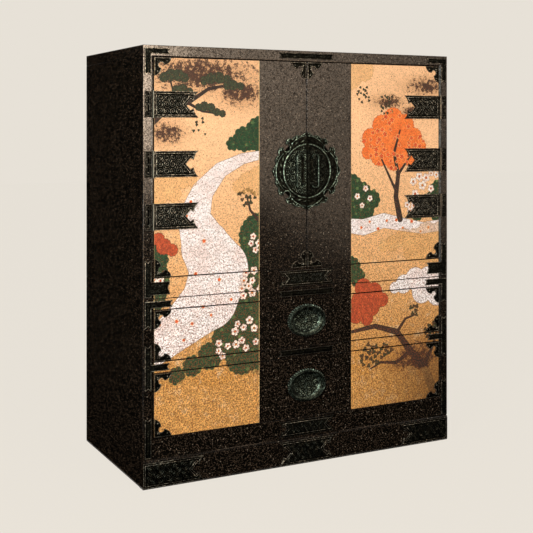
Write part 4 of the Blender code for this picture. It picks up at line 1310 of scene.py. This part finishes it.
    def build(self) -> None:
        """Make the chasing on each door and the bail in each pair of eyes."""
        half, bail = self.half(), self.bail()
        # The right half is darkened as painted shade by lowering its relief.
        other = half.mirrored().rubbed(self.right_painted_shade)
        for side, door, pull, chasing, rod in (
                ("left", Body.LEFT_DOOR, Body.LEFT_BAIL, half, bail),
                ("right", Body.RIGHT_DOOR, Body.RIGHT_BAIL, other, bail.mirrored())):
            make_piece(f"{side}_lock_chasing", chasing, self.iron, door)
            make_piece(f"{side}_bail_rod", rod, self.iron, pull, (f"{side}_bail",))


@dataclass(frozen=True)
class DrawerPull:
    """Oval pull: a dished pan with a rope-milled rim, a staple, and a ring that hangs in it (millimetres)."""

    front: FrontPlane
    iron: bpy.types.Material
    name: str
    drawer: Body
    hanger: Body
    z: float
    half_tall: float = 42.5
    stretch: float = 56.5 / 42.5
    lip: float = 31.0
    depth: float = 7.2
    beads: int = 46
    bead_depth: float = 0.36
    rim_half: float = 2.0
    ring_half: tuple[float, float] = (50.5, 36.5)
    ring_ease: tuple[float, float] = (1.6, 0.6)
    ring_rod: float = 2.4
    ring_proud: float = 6.0
    staple_half: float = 4.9
    staple_rod: float = 1.4
    sharp_degrees: float = 60.0

    def pan(self) -> Shape:
        """Pan: a profile turned about the middle and stretched sideways, with a beaded rim."""
        columns = self.beads * 6
        turn = np.linspace(0, 2 * math.pi, columns, endpoint=False)[None, :]
        bead = 1 + self.bead_depth * np.cos(self.beads * turn)
        round_edge = np.linspace(-0.2 * math.pi, 1.05 * math.pi, 8)[:, None]
        rim_radius = self.half_tall - self.rim_half + self.rim_half * bead * np.cos(round_edge)
        rim_height = 1.3 + 2.2 * bead * np.sin(round_edge)
        slope = np.linspace(self.half_tall - 4.4, self.lip + 1.5, 6)
        wall = np.linspace(self.lip + 0.8, self.lip - 2.6, 6)
        dish = (self.lip - 3.3) * np.cos(np.linspace(0.05, math.pi / 2, 24))
        shelf = np.concatenate([0.6 + 1.3 * (slope - slope[-1]) / (slope[0] - slope[-1]),
                                0.4 - 2.4 * (wall[0] - wall) / (wall[0] - wall[-1])])
        bowl = -2.3 - (self.depth - 4.5) * (1 - (dish / self.lip) ** 2)
        inner = np.repeat(np.concatenate([slope, wall, dish])[:, None], columns, axis=1)
        fall = np.repeat(np.concatenate([shelf, bowl])[:, None], columns, axis=1)
        radius = np.concatenate([np.full((1, columns), self.half_tall - 0.2), rim_radius, inner])
        height = np.concatenate([np.full((1, columns), -0.2), rim_height, fall])
        x, z = self.stretch * radius * np.cos(turn), radius * np.sin(turn)
        chased = scrollwork(5.2, 19.0)(x * MM, (z + 9.5) * MM) * np.clip((self.lip + 2 - radius) / 3, 0, 1)
        height = height + 0.6 * chased
        wear = np.where(radius < self.half_tall - 4, 0.08 + 0.3 * chased, -0.3)
        rim_end = 1 + len(round_edge)
        slope_end = rim_end + len(slope)
        # Painted highlight: the beaded rim shows its wear colour most at the top and less towards the bottom.
        upper = np.clip(0.7 + 0.6 * np.sin(turn + 0.5), 0.2, 1)
        wear[1:rim_end] = np.clip(3 * (bead - 0.85), -0.6, 1) * upper
        # Painted light: the slope is lifted to a lighter tone to fill the shade round the ring.
        wear[rim_end:slope_end] = 0.25
        # Painted highlight: the bowl's wall is lighter on its right side.
        wear[slope_end:slope_end + len(wall)] = 0.15 + 0.3 * np.clip(np.cos(turn), 0, 1)
        points = self.front.place(x * MM, (self.z + z) * MM, height * MM)
        return Shape(points, grid_faces(len(radius), columns, True), wear.ravel())

    def staple(self) -> Shape:
        """Staple: a small ring that stands round the top of the hanging ring and sinks into the pan."""
        turn = np.linspace(0, 2 * math.pi, 28, endpoint=False)
        pivot = self.z + self.ring_half[1]
        path = self.front.place(np.zeros(len(turn)), (pivot + self.staple_half * np.sin(turn)) * MM,
                                (self.ring_proud + self.staple_half * np.cos(turn)) * MM)
        return tube(path, np.array([1.0, 0.0, 0.0]), np.full(len(turn), self.staple_rod * MM), 10, True)

    def ring(self) -> Shape:
        """Ring: a round rod along an ellipse that runs just inside the pan's beaded rim."""
        turn = np.linspace(0, 2 * math.pi, 120, endpoint=False)
        wide, tall = (half + ease for half, ease in zip(self.ring_half, self.ring_ease))
        path = self.front.place(wide * np.cos(turn) * MM, (self.z + tall * np.sin(turn)) * MM,
                                np.full(len(turn), self.ring_proud * MM))
        return tube(path, np.array([0.0, -1.0, 0.0]), np.full(len(turn), self.ring_rod * MM), 14, True, 0.2)

    def build(self) -> None:
        """Make the pan with its staple on the drawer, and the ring on its own body."""
        make_piece(f"{self.name}_pan_work", join([self.pan(), self.staple()]), self.iron, self.drawer,
                   (f"{self.name}_pan",), self.sharp_degrees)
        make_piece(f"{self.name}_ring_rod", self.ring(), self.iron, self.hanger,
                   (f"{self.name}_ring",))


@dataclass(frozen=True)
class Brush:
    """Points of a painting, and distances from them to what is painted, negative inside (millimetres).

    a is the distance from the painting's left edge, and z the height over the floor.
    """

    a: Array
    z: Array
    nowhere: float = 50.0
    no_stamp: float = 1e3

    def away(self, a: float, z: float) -> Array:
        """Distance to one place."""
        return np.hypot(self.a - a, self.z - z)

    def turn(self, a: float, z: float) -> Array:
        """Angle round one place."""
        return np.arctan2(self.z - z, self.a - a)

    def discs(self, rows: Rows) -> Array:
        """Distance to discs with a middle and a radius: the least of the distances to their rims."""
        if not rows:
            return np.full(np.shape(self.a), self.nowhere)
        return np.minimum.reduce([self.away(a, z) - radius for a, z, radius in rows])

    def billows(self, rows: Rows, scallop: float = 11.0) -> Array:
        """Distance to a mass of discs whose rims are scalloped by a wave of the angle round each disc.

        Args:
            rows: Middle and radius of each disc.
            scallop: Length of a scallop.

        Returns:
            Distances in millimetres.
        """
        if not rows:
            return np.full(np.shape(self.a), self.nowhere)
        parts = []
        for number, (a, z, radius) in enumerate(rows):
            count = max(5, round(2 * math.pi * radius / scallop))
            wave = np.abs(np.sin(count * self.turn(a, z) / 2 + number))
            parts.append(self.away(a, z) - radius - 0.22 * scallop * (wave - 0.6))
        return np.minimum.reduce(parts)

    def stroke(self, path: Rows) -> Array:
        """Distance to a brush stroke of changing width.

        For each segment, the nearest point gives the distance and the radius there; the least one counts.

        Args:
            path: Place and radius at each bend.

        Returns:
            Distances in millimetres.
        """
        best = np.full(np.shape(self.a), np.inf)
        for (a0, z0, r0), (a1, z1, r1) in zip(path, path[1:]):
            da, dz = a1 - a0, z1 - z0
            t = np.clip(((self.a - a0) * da + (self.z - z0) * dz) / (da * da + dz * dz), 0, 1)
            near = np.hypot(self.a - a0 - t * da, self.z - z0 - t * dz)
            best = np.minimum(best, near - r0 - t * (r1 - r0))
        return best

    def wave_scales(self, size: float) -> Array:
        """Distance to the middle of the wave scale that lies on top of a point.

        Scales are discs in rows half a radius apart, set off by a radius by turns, each over the row above.

        Args:
            size: Radius of a scale.

        Returns:
            Distances in millimetres.
        """
        lowest = np.ceil(2 * (self.z - size) / size)
        away = np.full(np.shape(self.a), 2 * size)
        for step in range(4):
            row = lowest + step
            odd = row % 2
            middle = size * (2 * np.round((self.a / size - odd) / 2) + odd)
            near = np.hypot(self.a - middle, self.z - row * size / 2)
            away = np.where((away > size) & (near < size), near, away)
        return away

    def stamps(self, rows: Rows, petals: float, depth: float) -> Array:
        """Distance to flowers or leaves: their radius is a wave of the angle with one crest for each petal.

        Args:
            rows: Middle, radius and turn of each stamp.
            petals: Number of petals or lobes.
            depth: Share of the radius that the cuts between them take.

        Returns:
            Distances in millimetres.
        """
        parts = [np.full(np.shape(self.a), self.no_stamp)]
        for a, z, radius, turn in rows:
            wave = np.abs(np.cos(petals * (self.turn(a, z) - turn) / 2)) ** 0.8
            parts.append(self.away(a, z) - radius * (1 - depth + depth * wave))
        return np.minimum.reduce(parts)

    def haze(self, rows: Rows) -> Array:
        """Strength from 0 to 1 of soft spots: the greatest of bell curves (place, width, height)."""
        return np.maximum.reduce([np.zeros(np.shape(self.a))] + [
            np.exp(-((self.a - a) / wide) ** 2 - ((self.z - z) / tall) ** 2) for a, z, wide, tall in rows])


def scatter(seed: int, count: int, low: tuple[float, float], high: tuple[float, float],
            radius: tuple[float, float], inside: Callable[[Brush], Array],
            gap: float) -> list[tuple[float, ...]]:
    """Places for stamps: seeded tries over a rectangle, kept where a mass is deep enough and apart enough.

    Args:
        seed: Seed of the tries.
        count: Number of places wanted.
        low: Lower left corner in millimetres.
        high: Upper right corner.
        radius: Least and greatest radius.
        inside: Distance to the mass that holds the stamps, negative inside.
        gap: Least distance between places, as a share of the radius.

    Returns:
        Middle, radius and turn of each stamp.
    """
    tries, least_depth = 60 * count, 0.4
    rng = np.random.default_rng(seed)
    kept: list[tuple[float, ...]] = []
    for _ in range(tries):
        a, z = rng.uniform(low[0], high[0]), rng.uniform(low[1], high[1])
        size, turn = rng.uniform(*radius), rng.uniform(0, 2 * math.pi)
        if float(inside(Brush(np.array(a), np.array(z)))) > -least_depth * size:
            continue
        if all(math.hypot(a - row[0], z - row[1]) > gap * (size + row[2]) for row in kept):
            kept.append((a, z, size, turn))
        if len(kept) == count:
            break
    return kept


@dataclass(frozen=True)
class Pigment:
    """One colour of the paintings: its layer, its tones, its contour and the spacing of its inner lines."""

    layer: str
    colour: str
    shade: str
    mottle_mm: float
    contour: str
    contour_mm: float
    inner_mm: float = 0.0
    cover: float = 1.0


@dataclass(frozen=True)
class GildedPanel:
    """Gold leaf and mineral colours on the panels, under a thin varnish.

    Pale gold leaf in faint squares with brown specks, and flat opaque colours with fine ink contours.
    """

    lit_upper_gold: str = "#FFCC9C"
    shaded_lower_gold: str = "#CC954A"
    fleck: str = "#7C421C"
    bloom: str = "#DCD0B2"
    # Tint of a soft painted shade that darkens the gold towards the lower right.
    painted_shade: str = "#94875E"
    smoke: str = "#A06C38"
    soot: str = "#301813"
    wave: str = "#7C6654"
    leaf_square_mm: float = 96.0
    fleck_mm: float = 3.2
    roughness: float = 0.68
    ior: float = 1.36
    pigments: tuple[Pigment, ...] = (
        Pigment("hill", "#143F1E", "#0E2C16", 10.0, "#3E6238", 0.6, 13.0),
        Pigment("tuft", "#587A45", "#456338", 18.0, "#1E331A", 0.4),
        Pigment("water", "#F5F0F2", "#EEDEDC", 46.0, "#6E5A4A", 0.6),
        Pigment("maple", "#F8843A", "#E96C2A", 14.0, "#A93B1C", 0.6),
        Pigment("shrub", "#C8552A", "#9E3A1E", 9.0, "#4E1C10", 0.7, 7.0),
        Pigment("trunk", "#35261F", "#1A1310", 7.0, "#0E0907", 0.5),
        Pigment("pine", "#39442A", "#25261A", 5.0, "#15170E", 0.6, 5.0),
        Pigment("leaf", "#26371F", "#3C2E18", 18.0, "#10150C", 0.4),
        Pigment("ember", "#E8612C", "#C9401F", 10.0, "#F9CF86", 0.55),
        Pigment("petal", "#FAF1E8", "#F0D6C9", 16.0, "#8E5C50", 0.5),
        Pigment("heart", "#C23B2A", "#D9963A", 24.0, "#6E2018", 0.4),
        Pigment("cloud", "#E0AE68", "#C4904E", 22.0, "#A87838", 0.5, 0.0, 0.5),
        Pigment("fillet", "#F2D396", "#E6C07E", 12.0, "#D9B070", 0.2))

    def build(self) -> bpy.types.Material:
        """Make the material; the layers are distances that each painting carries, negative inside a mass."""
        material, add = new_material("gilded_mineral_painting")
        place = add("TexCoord", {}).outputs["Object"]
        upright = add("Mapping", {"Vector": place, "Rotation": (math.pi / 2, 0.0, 0.0)})
        side = self.leaf_square_mm * MM
        squares = add("TexBrick", {
            "Vector": upright, "Color1": (0.90, 0.90, 0.90, 1), "Color2": (1.0, 1.0, 1.0, 1),
            "Mortar": (0.78, 0.76, 0.72, 1), "Scale": 1.0, "Mortar Size": 0.0005, "Brick Width": side,
            "Row Height": side}, offset=0.0, squash=1.0)
        height = add("SeparateXYZ", {"Vector": place}).outputs["Z"]
        rise = add("MapRange", {"Value": height, "From Min": 0.25, "From Max": 0.85})
        least, most, faded = (add("MapRange", {"Value": rise, "To Min": foot, "To Max": head})
                              for foot, head in ((0.30, 0.72), (1.60, 1.18), (0.5, 0.0)))
        dusk, flow, painted_shade = (add("Attribute", {}, attribute_name=layer).outputs["Fac"]
                               for layer in ("dusk", "flow", "painted_shade"))
        smoke, rubbed, worn, flecks, spots = (
            add("TexNoise", {"Vector": place, "Scale": 1 / (size * MM), "Detail": detail, "Roughness": rough})
            for size, detail, rough in ((9, 6.0, 0.8), (26, 4.0, 0.7), (9, 6.0, 0.75),
                                        (self.fleck_mm, 3.0, 0.8), (1.2 * self.fleck_mm, 2.0, 0.6)))
        # Painted shade: the gold runs from a darker tone at the foot to a paler one at the head.
        gold = add("Mix", {0: rise, 6: self.shaded_lower_gold, 7: self.lit_upper_gold}, data_type="RGBA")
        sheets = add("Mix", {0: 0.6, 6: gold, 7: squares}, data_type="RGBA", blend_type="MULTIPLY")
        pale = add("MapRange", {"Value": rubbed, "From Min": 0.56, "From Max": 0.68, "To Max": faded})
        bloomed = add("Mix", {0: pale, 6: sheets, 7: self.bloom}, data_type="RGBA")
        thin = add("Math", {0: dusk, 1: 0.6}, operation="MULTIPLY")
        smoky = add("Mix", {0: thin, 6: bloomed, 7: self.smoke}, data_type="RGBA")
        veil = add("Math", {0: dusk, 1: 0.32, 2: smoke}, operation="MULTIPLY_ADD")
        dim = add("MapRange", {"Value": veil, "From Min": 0.70, "From Max": 0.77, "To Max": 0.95})
        colour = add("Mix", {0: dim, 6: smoky, 7: self.soot}, data_type="RGBA")
        wave = add("Math", {0: add("Math", {0: flow}, operation="SINE")}, operation="ABSOLUTE")
        line = add("MapRange", {"Value": wave, "From Min": 0.26, "From Max": 0.10, "To Max": 0.6})
        kept = add("MapRange", {"Value": worn, "From Min": 0.64, "From Max": 0.70, "To Min": 1.0,
                                "To Max": 0.6})
        for pigment in self.pigments:
            away = add("Attribute", {}, attribute_name=pigment.layer).outputs["Fac"]
            fill = add("MapRange", {"Value": away, "From Min": 0.3, "From Max": -0.3,
                                    "To Max": pigment.cover})
            mottle = add("TexNoise", {"Vector": place, "Scale": 1 / (pigment.mottle_mm * MM), "Detail": 3.0,
                                      "Roughness": 0.65})
            patch = add("MapRange", {"Value": mottle, "From Min": 0.38, "From Max": 0.64})
            tone = add("Mix", {0: patch, 6: pigment.colour, 7: pigment.shade}, data_type="RGBA")
            if pigment.inner_mm:
                turn = add("Math", {0: away, 1: math.pi / pigment.inner_mm}, operation="MULTIPLY")
                ripple = add("Math", {0: add("Math", {0: turn}, operation="SINE")}, operation="ABSOLUTE")
                ridge = add("MapRange", {"Value": ripple, "From Min": 0.28, "From Max": 0.10, "To Max": 0.5})
                tone = add("Mix", {0: ridge, 6: tone, 7: pigment.contour}, data_type="RGBA")
            if pigment.layer == "water":
                tone = add("Mix", {0: line, 6: tone, 7: self.wave}, data_type="RGBA")
            cover = add("Math", {0: fill, 1: kept}, operation="MULTIPLY")
            colour = add("Mix", {0: cover, 6: colour, 7: tone}, data_type="RGBA")
            rim = add("MapRange", {
                "Value": add("Math", {0: away}, operation="ABSOLUTE"), "From Min": 1.3 * pigment.contour_mm,
                "From Max": 0.5 * pigment.contour_mm, "To Max": 0.85})
            colour = add("Mix", {0: rim, 6: colour, 7: pigment.contour}, data_type="RGBA")
        grain = add("MapRange", {"Value": flecks, "From Min": 0.32, "From Max": 0.60, "To Min": least,
                                 "To Max": most})
        colour = add("Mix", {0: 1.0, 6: colour, 7: grain}, data_type="RGBA", blend_type="MULTIPLY")
        patches = add("Math", {0: rise, 1: -0.10, 2: spots}, operation="MULTIPLY_ADD")
        speck = add("MapRange", {"Value": patches, "From Min": 0.50, "From Max": 0.57, "To Max": 0.8})
        colour = add("Mix", {0: speck, 6: colour, 7: self.fleck}, data_type="RGBA")
        # Multiply in the painted shade towards the lower right.
        colour = add("Mix", {0: painted_shade, 6: colour, 7: self.painted_shade}, data_type="RGBA", blend_type="MULTIPLY")
        bump = add("Bump", {"Height": flecks, "Strength": 0.25, "Distance": 0.05 * MM})
        shader = add("BsdfPrincipled", {"Base Color": colour, "Roughness": self.roughness, "IOR": self.ior,
                                        "Normal": bump})
        add("OutputMaterial", {"Surface": shader})
        return material


@dataclass(frozen=True)
class Picture:
    """Masses of one painting, in millimetres from its left edge and from the floor.

    Each table holds discs (place, radius), strokes (place and radius at each bend), spots of stamps (place,
    radius, count and least stamp) or soft spots (place, width and height).
    """

    hill: Rows
    river: Rows
    sand: Rows
    maple: Rows
    shrub: Rows
    wood: tuple[Rows, ...]
    pine: Rows
    sprays: Rows
    flowers: Rows
    cloud: Rows
    cloud_top: float
    dusk: Rows
    painted_shade: Rows
    fillet: float
    seed: int
    scale: float = 34.0

    @staticmethod
    def sprinkled(seed: int, spots: Rows, growth: float, gap: float) -> list[tuple[float, ...]]:
        """Stamps that fill round spots.

        Args:
            seed: Seed of the first spot; the next ones follow it.
            spots: Middle, radius, count and least stamp radius of each spot.
            growth: Greatest stamp radius over the least one.
            gap: Least distance between stamps, as a share of the radius.

        Returns:
            Middle, radius and turn of each stamp.
        """
        rows = []
        for number, (a, z, reach, count, size) in enumerate(spots):
            rows += scatter(seed + number, int(count), (a - reach, z - reach), (a + reach, z + reach),
                            (size, size * growth), lambda brush, spot=(a, z, reach): brush.discs([spot]), gap)
        return rows

    def layers(self, brush: Brush) -> dict[str, Array]:
        """Distances to every mass at points of the painting.

        Args:
            brush: The points.

        Returns:
            Distances in millimetres by layer, the river's flow in radians, and the dusk from 0 to 1.
        """
        ember = scatter(self.seed, 46, (0, 560), (PANEL_WIDTH, 960), (5.0, 8.5),
                        lambda spot: spot.billows(self.maple), 0.72) if self.maple else []
        drift = scatter(self.seed + 1, 12, (10, 330), (278, 700), (4.0, 6.0),
                        lambda spot: spot.stroke(self.river), 3.0)
        tufts = scatter(self.seed + 5, 40, (4, 250), (284, 900), (4.0, 6.5),
                        lambda spot: spot.billows(self.hill, 18.0), 1.7)
        petals = self.sprinkled(self.seed + 10, self.flowers, 1.35, 0.85)
        leaves = self.sprinkled(self.seed + 40, self.sprays, 1.4, 0.8)
        return {
            "dusk": brush.haze(self.dusk), "painted_shade": brush.haze(self.painted_shade),
            "fillet": np.minimum(brush.a, PANEL_WIDTH - brush.a) - self.fillet,
            "flow": 3 * math.pi / self.scale * brush.wave_scales(self.scale),
            "hill": brush.billows(self.hill, 18.0), "tuft": brush.stamps(tufts, 7, 0.8),
            "water": np.minimum(brush.stroke(self.river), brush.discs(self.sand)),
            "maple": brush.billows(self.maple), "shrub": brush.billows(self.shrub, 9.0),
            "trunk": np.minimum.reduce([brush.stroke(path) for path in self.wood]),
            "pine": brush.billows(self.pine, 7.0), "leaf": brush.stamps(leaves, 3, 0.55),
            "ember": brush.stamps(ember + drift, 5, 0.6), "petal": brush.stamps(petals, 5, 0.34),
            "heart": brush.discs([(row[0], row[1], 0.28 * row[2]) for row in petals]),
            "cloud": np.minimum(brush.billows(self.cloud, 15.0), brush.z - self.cloud_top)}


LEFT_PICTURE = Picture(
    hill=((292, 862, 46), (246, 850, 32), (212, 838, 17), (292, 600, 62), (284, 530, 58), (292, 452, 70),
          (236, 398, 40), (276, 372, 58), (196, 344, 42), (240, 300, 48), (150, 308, 34), (102, 288, 26),
          (-6, 560, 44), (8, 510, 34), (-8, 468, 40), (60, 268, 22), (288, 288, 40)),
    river=((310, 812, 10), (240, 800, 14), (178, 772, 20), (128, 718, 30), (106, 652, 44), (138, 580, 66),
           (176, 520, 80), (150, 448, 76), (84, 398, 58), (20, 352, 46), (-30, 322, 40)),
    sand=(),
    maple=(),
    shrub=((26, 588, 20), (48, 578, 15), (12, 606, 16)),
    wood=(((-10, 886, 8), (34, 924, 6.5), (90, 940, 5), (146, 976, 4), (222, 990, 2)),
          ((90, 940, 3.6), (128, 920, 2.8), (182, 912, 1.4)),
          ((34, 924, 3.6), (52, 964, 2.6), (40, 1006, 1.2)),
          ((288, 640, 4), (262, 668, 3), (252, 704, 1.6))),
    pine=((26, 1002, 12), (44, 1008, 15), (64, 1008, 15), (82, 1002, 11), (58, 972, 11), (76, 974, 13),
          (94, 968, 10), (134, 996, 11), (152, 1002, 14), (174, 1004, 15), (196, 1000, 12), (196, 984, 10),
          (214, 986, 13), (234, 984, 10), (118, 930, 9), (134, 932, 12), (152, 928, 12), (168, 918, 10),
          (184, 914, 9), (20, 950, 9), (8, 956, 11)),
    sprays=((252, 704, 26, 12, 5.0), (120, 880, 30, 7, 3.2)),
    flowers=((262, 480, 42, 9, 9.5), (252, 352, 44, 9, 9.0), (184, 326, 26, 4, 8.0), (276, 586, 26, 4, 8.5),
             (4, 500, 24, 3, 8.0)),
    cloud=((-4, 762, 44), (36, 760, 34), (74, 752, 24), (100, 746, 14), (10, 722, 32), (52, 716, 20),
           (292, 742, 40), (256, 738, 28), (228, 730, 16), (0, 224, 34), (40, 214, 30), (84, 222, 34),
           (132, 208, 30), (178, 206, 30), (226, 214, 32), (276, 224, 36)),
    cloud_top=206.0,
    dusk=((130, 1012, 190, 60), (236, 966, 80, 44), (30, 866, 60, 34)),
    painted_shade=(),
    fillet=1.1,
    seed=7)
RIGHT_PICTURE = Picture(
    hill=((-4, 716, 40), (30, 700, 34), (66, 684, 26), (0, 660, 42), (44, 650, 28), (292, 700, 34),
          (258, 668, 30), (292, 650, 36), (214, 640, 20), (-4, 500, 34), (20, 476, 24), (292, 330, 20)),
    river=((-20, 618, 18), (40, 610, 22), (104, 626, 20), (168, 612, 18), (232, 600, 16), (310, 606, 16)),
    sand=((292, 462, 38), (252, 456, 36), (208, 460, 32), (170, 448, 26), (232, 424, 34), (284, 416, 36),
          (140, 440, 16)),
    maple=((98, 884, 30), (136, 902, 32), (174, 886, 30), (62, 850, 27), (112, 848, 40), (160, 838, 40),
           (204, 852, 27), (92, 804, 30), (140, 794, 33), (188, 802, 27), (226, 828, 19), (52, 812, 18)),
    shrub=((38, 446, 26), (72, 432, 27), (30, 410, 30), (66, 394, 26), (100, 410, 19), (16, 376, 24),
           (50, 364, 20)),
    wood=(((158, 628, 9), (144, 690, 7.5), (152, 750, 6), (138, 810, 4), (158, 872, 2)),
          ((152, 750, 4), (196, 806, 2)),
          ((144, 706, 4), (98, 792, 2)),
          ((272, 140, 14), (238, 216, 12), (192, 262, 10), (148, 318, 8.5), (76, 340, 6.5), (-6, 330, 4)),
          ((192, 262, 6), (146, 234, 4.5), (96, 240, 3), (62, 226, 1.6)),
          ((238, 216, 6), (268, 268, 4), (286, 316, 2)),
          ((148, 318, 5), (176, 352, 3), (214, 362, 1.8))),
    pine=(),
    sprays=((60, 262, 34, 16, 6.0), (112, 268, 24, 9, 5.5), (262, 312, 26, 12, 5.5), (40, 966, 26, 14, 3.4),
            (116, 944, 30, 15, 3.4), (236, 936, 28, 12, 3.4), (206, 372, 18, 6, 5.0)),
    flowers=((232, 716, 44, 11, 11.0), (196, 670, 26, 5, 10.0), (272, 760, 22, 4, 9.0),
             (40, 690, 30, 4, 8.0)),
    cloud=((292, 566, 48), (248, 580, 36), (206, 566, 34), (168, 576, 26), (134, 562, 22), (104, 556, 15),
           (244, 538, 36), (196, 538, 27), (292, 528, 34), (0, 196, 34), (46, 184, 30), (92, 194, 34),
           (140, 182, 28), (190, 188, 32), (240, 182, 30), (284, 192, 34), (-6, 1020, 40), (40, 1034, 30)),
    cloud_top=176.0,
    dusk=((250, 994, 90, 30), (120, 950, 60, 22), (200, 926, 50, 16), (210, 236, 90, 66)),
    # A soft painted shade towards the lower right.
    painted_shade=((340, 120, 220, 170),),
    fillet=0.0,
    seed=19,
    scale=24.0)


@dataclass(frozen=True)
class Painting:
    """One upright painting on the front, cut into a thin sheet for every board that it crosses."""

    front: FrontPlane
    gilding: bpy.types.Material
    side: str
    left: float
    picture: Picture
    door: Body
    width: float = PANEL_WIDTH * MM
    step: float = 1.7
    proud: float = 0.25
    edge: float = 1.0
    skirt: float = 0.1

    def boards(self) -> list[tuple[str, str, Body]]:
        """Names of the sheets, the boards that they lie on and the bodies that they move with."""
        return [("door_painting", f"{self.side}_door", self.door),
                ("sill_painting", "upper_sill", Body.CARCASS),
                ("lower_top_painting", "lower_top", Body.CARCASS),
                ("upper_drawer_painting", "upper_drawer_front", Body.UPPER_DRAWER),
                ("middle_rail_painting", "middle_rail", Body.CARCASS),
                ("lower_drawer_painting", "lower_drawer_front", Body.LOWER_DRAWER)]

    def sheet(self, name: str, node: str, body: Body) -> None:
        """Make one sheet: a grid over the board with a skirt down to the wood, carrying the layers.

        Args:
            name: Name of the sheet.
            node: Board under it.
            body: Body that it moves with.
        """
        low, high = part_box(node)
        edge = self.edge * MM
        x0, x1 = max(self.left, low.x + edge), min(self.left + self.width, high.x - edge)
        z0, z1 = low.z + edge, high.z - edge
        columns, rows = (max(3, round(size / (self.step * MM)) + 1) for size in (x1 - x0, z1 - z0))
        x, z = np.meshgrid(np.linspace(x0, x1, columns), np.linspace(z0, z1, rows))
        count = rows * columns
        index = np.arange(count).reshape(rows, columns)
        loop = np.concatenate([index[0, :-1], index[:-1, -1], index[-1, :0:-1], index[:0:-1, 0]])
        top = self.front.place(x, z, np.full(x.shape, self.proud * MM))
        points = np.concatenate([top, top[loop] + np.array([0.0, (self.proud + self.skirt) * MM, 0.0])])
        skirt = count + np.arange(len(loop))
        walls = np.stack([loop, skirt, np.roll(skirt, -1), np.roll(loop, -1)], axis=-1).tolist()
        faces = grid_faces(rows, columns) + walls + [skirt[::-1].tolist()]
        shape = Shape(points, faces, np.zeros(len(points)))
        item = make_piece(f"{self.side}_{name}", shape, self.gilding, body)
        values = self.picture.layers(Brush((points[:, 0] - self.left) / MM, points[:, 2] / MM))
        for layer, distance in values.items():
            data = item.data.attributes.new(layer, "FLOAT", "POINT")
            data.data.foreach_set("value", np.ascontiguousarray(distance, np.float32))

    def build(self) -> None:
        """Make every sheet of the painting."""
        for name, node, body in self.boards():
            self.sheet(name, node, body)


def dress_frame(frame: dict, finishes: dict[Slot, bpy.types.Material],
                hinge_iron: bpy.types.Material) -> None:
    """Give each CAD node the finish of its slot, the hinges their own, and each bare board a grain along it.

    Args:
        frame: The loaded frame.
        finishes: Finish of the slots other than wood.
        hinge_iron: Finish of the hinges' straps, leaves and pins.
    """
    woods = [Paulownia(axis).build() for axis in range(3)]
    for row in frame["record"]["subparts"]:
        node, slot = row["node"], Slot(row["material_slot"])
        item = frame["nodes"][node]
        item.data.materials.clear()
        low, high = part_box(node)
        if slot is Slot.WOOD:
            finish = woods[int(np.argmax(np.subtract(high, low)))]
        else:
            finish = hinge_iron if "_hinge_" in node else finishes[slot]
        item.data.materials.append(finish)


def main() -> None:
    """Load the frame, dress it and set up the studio."""
    logging.basicConfig(level=logging.INFO, format="%(message)s")
    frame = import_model()
    finishes = {Slot.LACQUER: BlackLacquer().build(), Slot.IRON: BlackenedIron().build()}
    # The hinge iron carries a painted highlight along its barrels.
    hinge_iron = BlackenedIron().build("rubbed_hinge_iron", HINGE_X)
    dress_frame(frame, finishes, hinge_iron)
    front = FrontPlane(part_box("left_door")[0].y + CAD_RELIEF)
    iron = finishes[Slot.IRON]
    # The lighter lacquer paints highlights on the edge strips; the dull one differs only in roughness.
    EdgeStrips(front, BlackLacquer("#352D26", "#7A6A58").build("highlight_urushi_edge"),
               BlackLacquer(roughness=0.5).build("dull_urushi_edge")).build()
    FramePlates(front, iron).build()
    CornerBrackets(front, iron).build()
    # The hinge leaves take a darker copy of the iron.
    StrapHinges(front, iron, BlackenedIron("#070706", "#5A564E").build("darker_wrought_iron")).build()
    # Worn colour tinted teal: wear on the raised lines, and partly a painted cool highlight on them.
    teal_wear_and_highlight_iron = BlackenedIron(worn="#7C8E82").build("teal_worn_highlight_iron")
    LockPlate(front, teal_wear_and_highlight_iron).build()
    DrawerPull(front, teal_wear_and_highlight_iron, "upper_pull", Body.UPPER_DRAWER, Body.UPPER_RING, UPPER_PULL_Z).build()
    DrawerPull(front, teal_wear_and_highlight_iron, "lower_pull", Body.LOWER_DRAWER, Body.LOWER_RING, LOWER_PULL_Z).build()
    gilding = GildedPanel().build()
    Painting(front, gilding, "left", LEFT_PANEL_X, LEFT_PICTURE, Body.LEFT_DOOR).build()
    Painting(front, gilding, "right", RIGHT_PANEL_X, RIGHT_PICTURE, Body.RIGHT_DOOR).build()
    Studio().build()


if __name__ == "__main__":
    main()
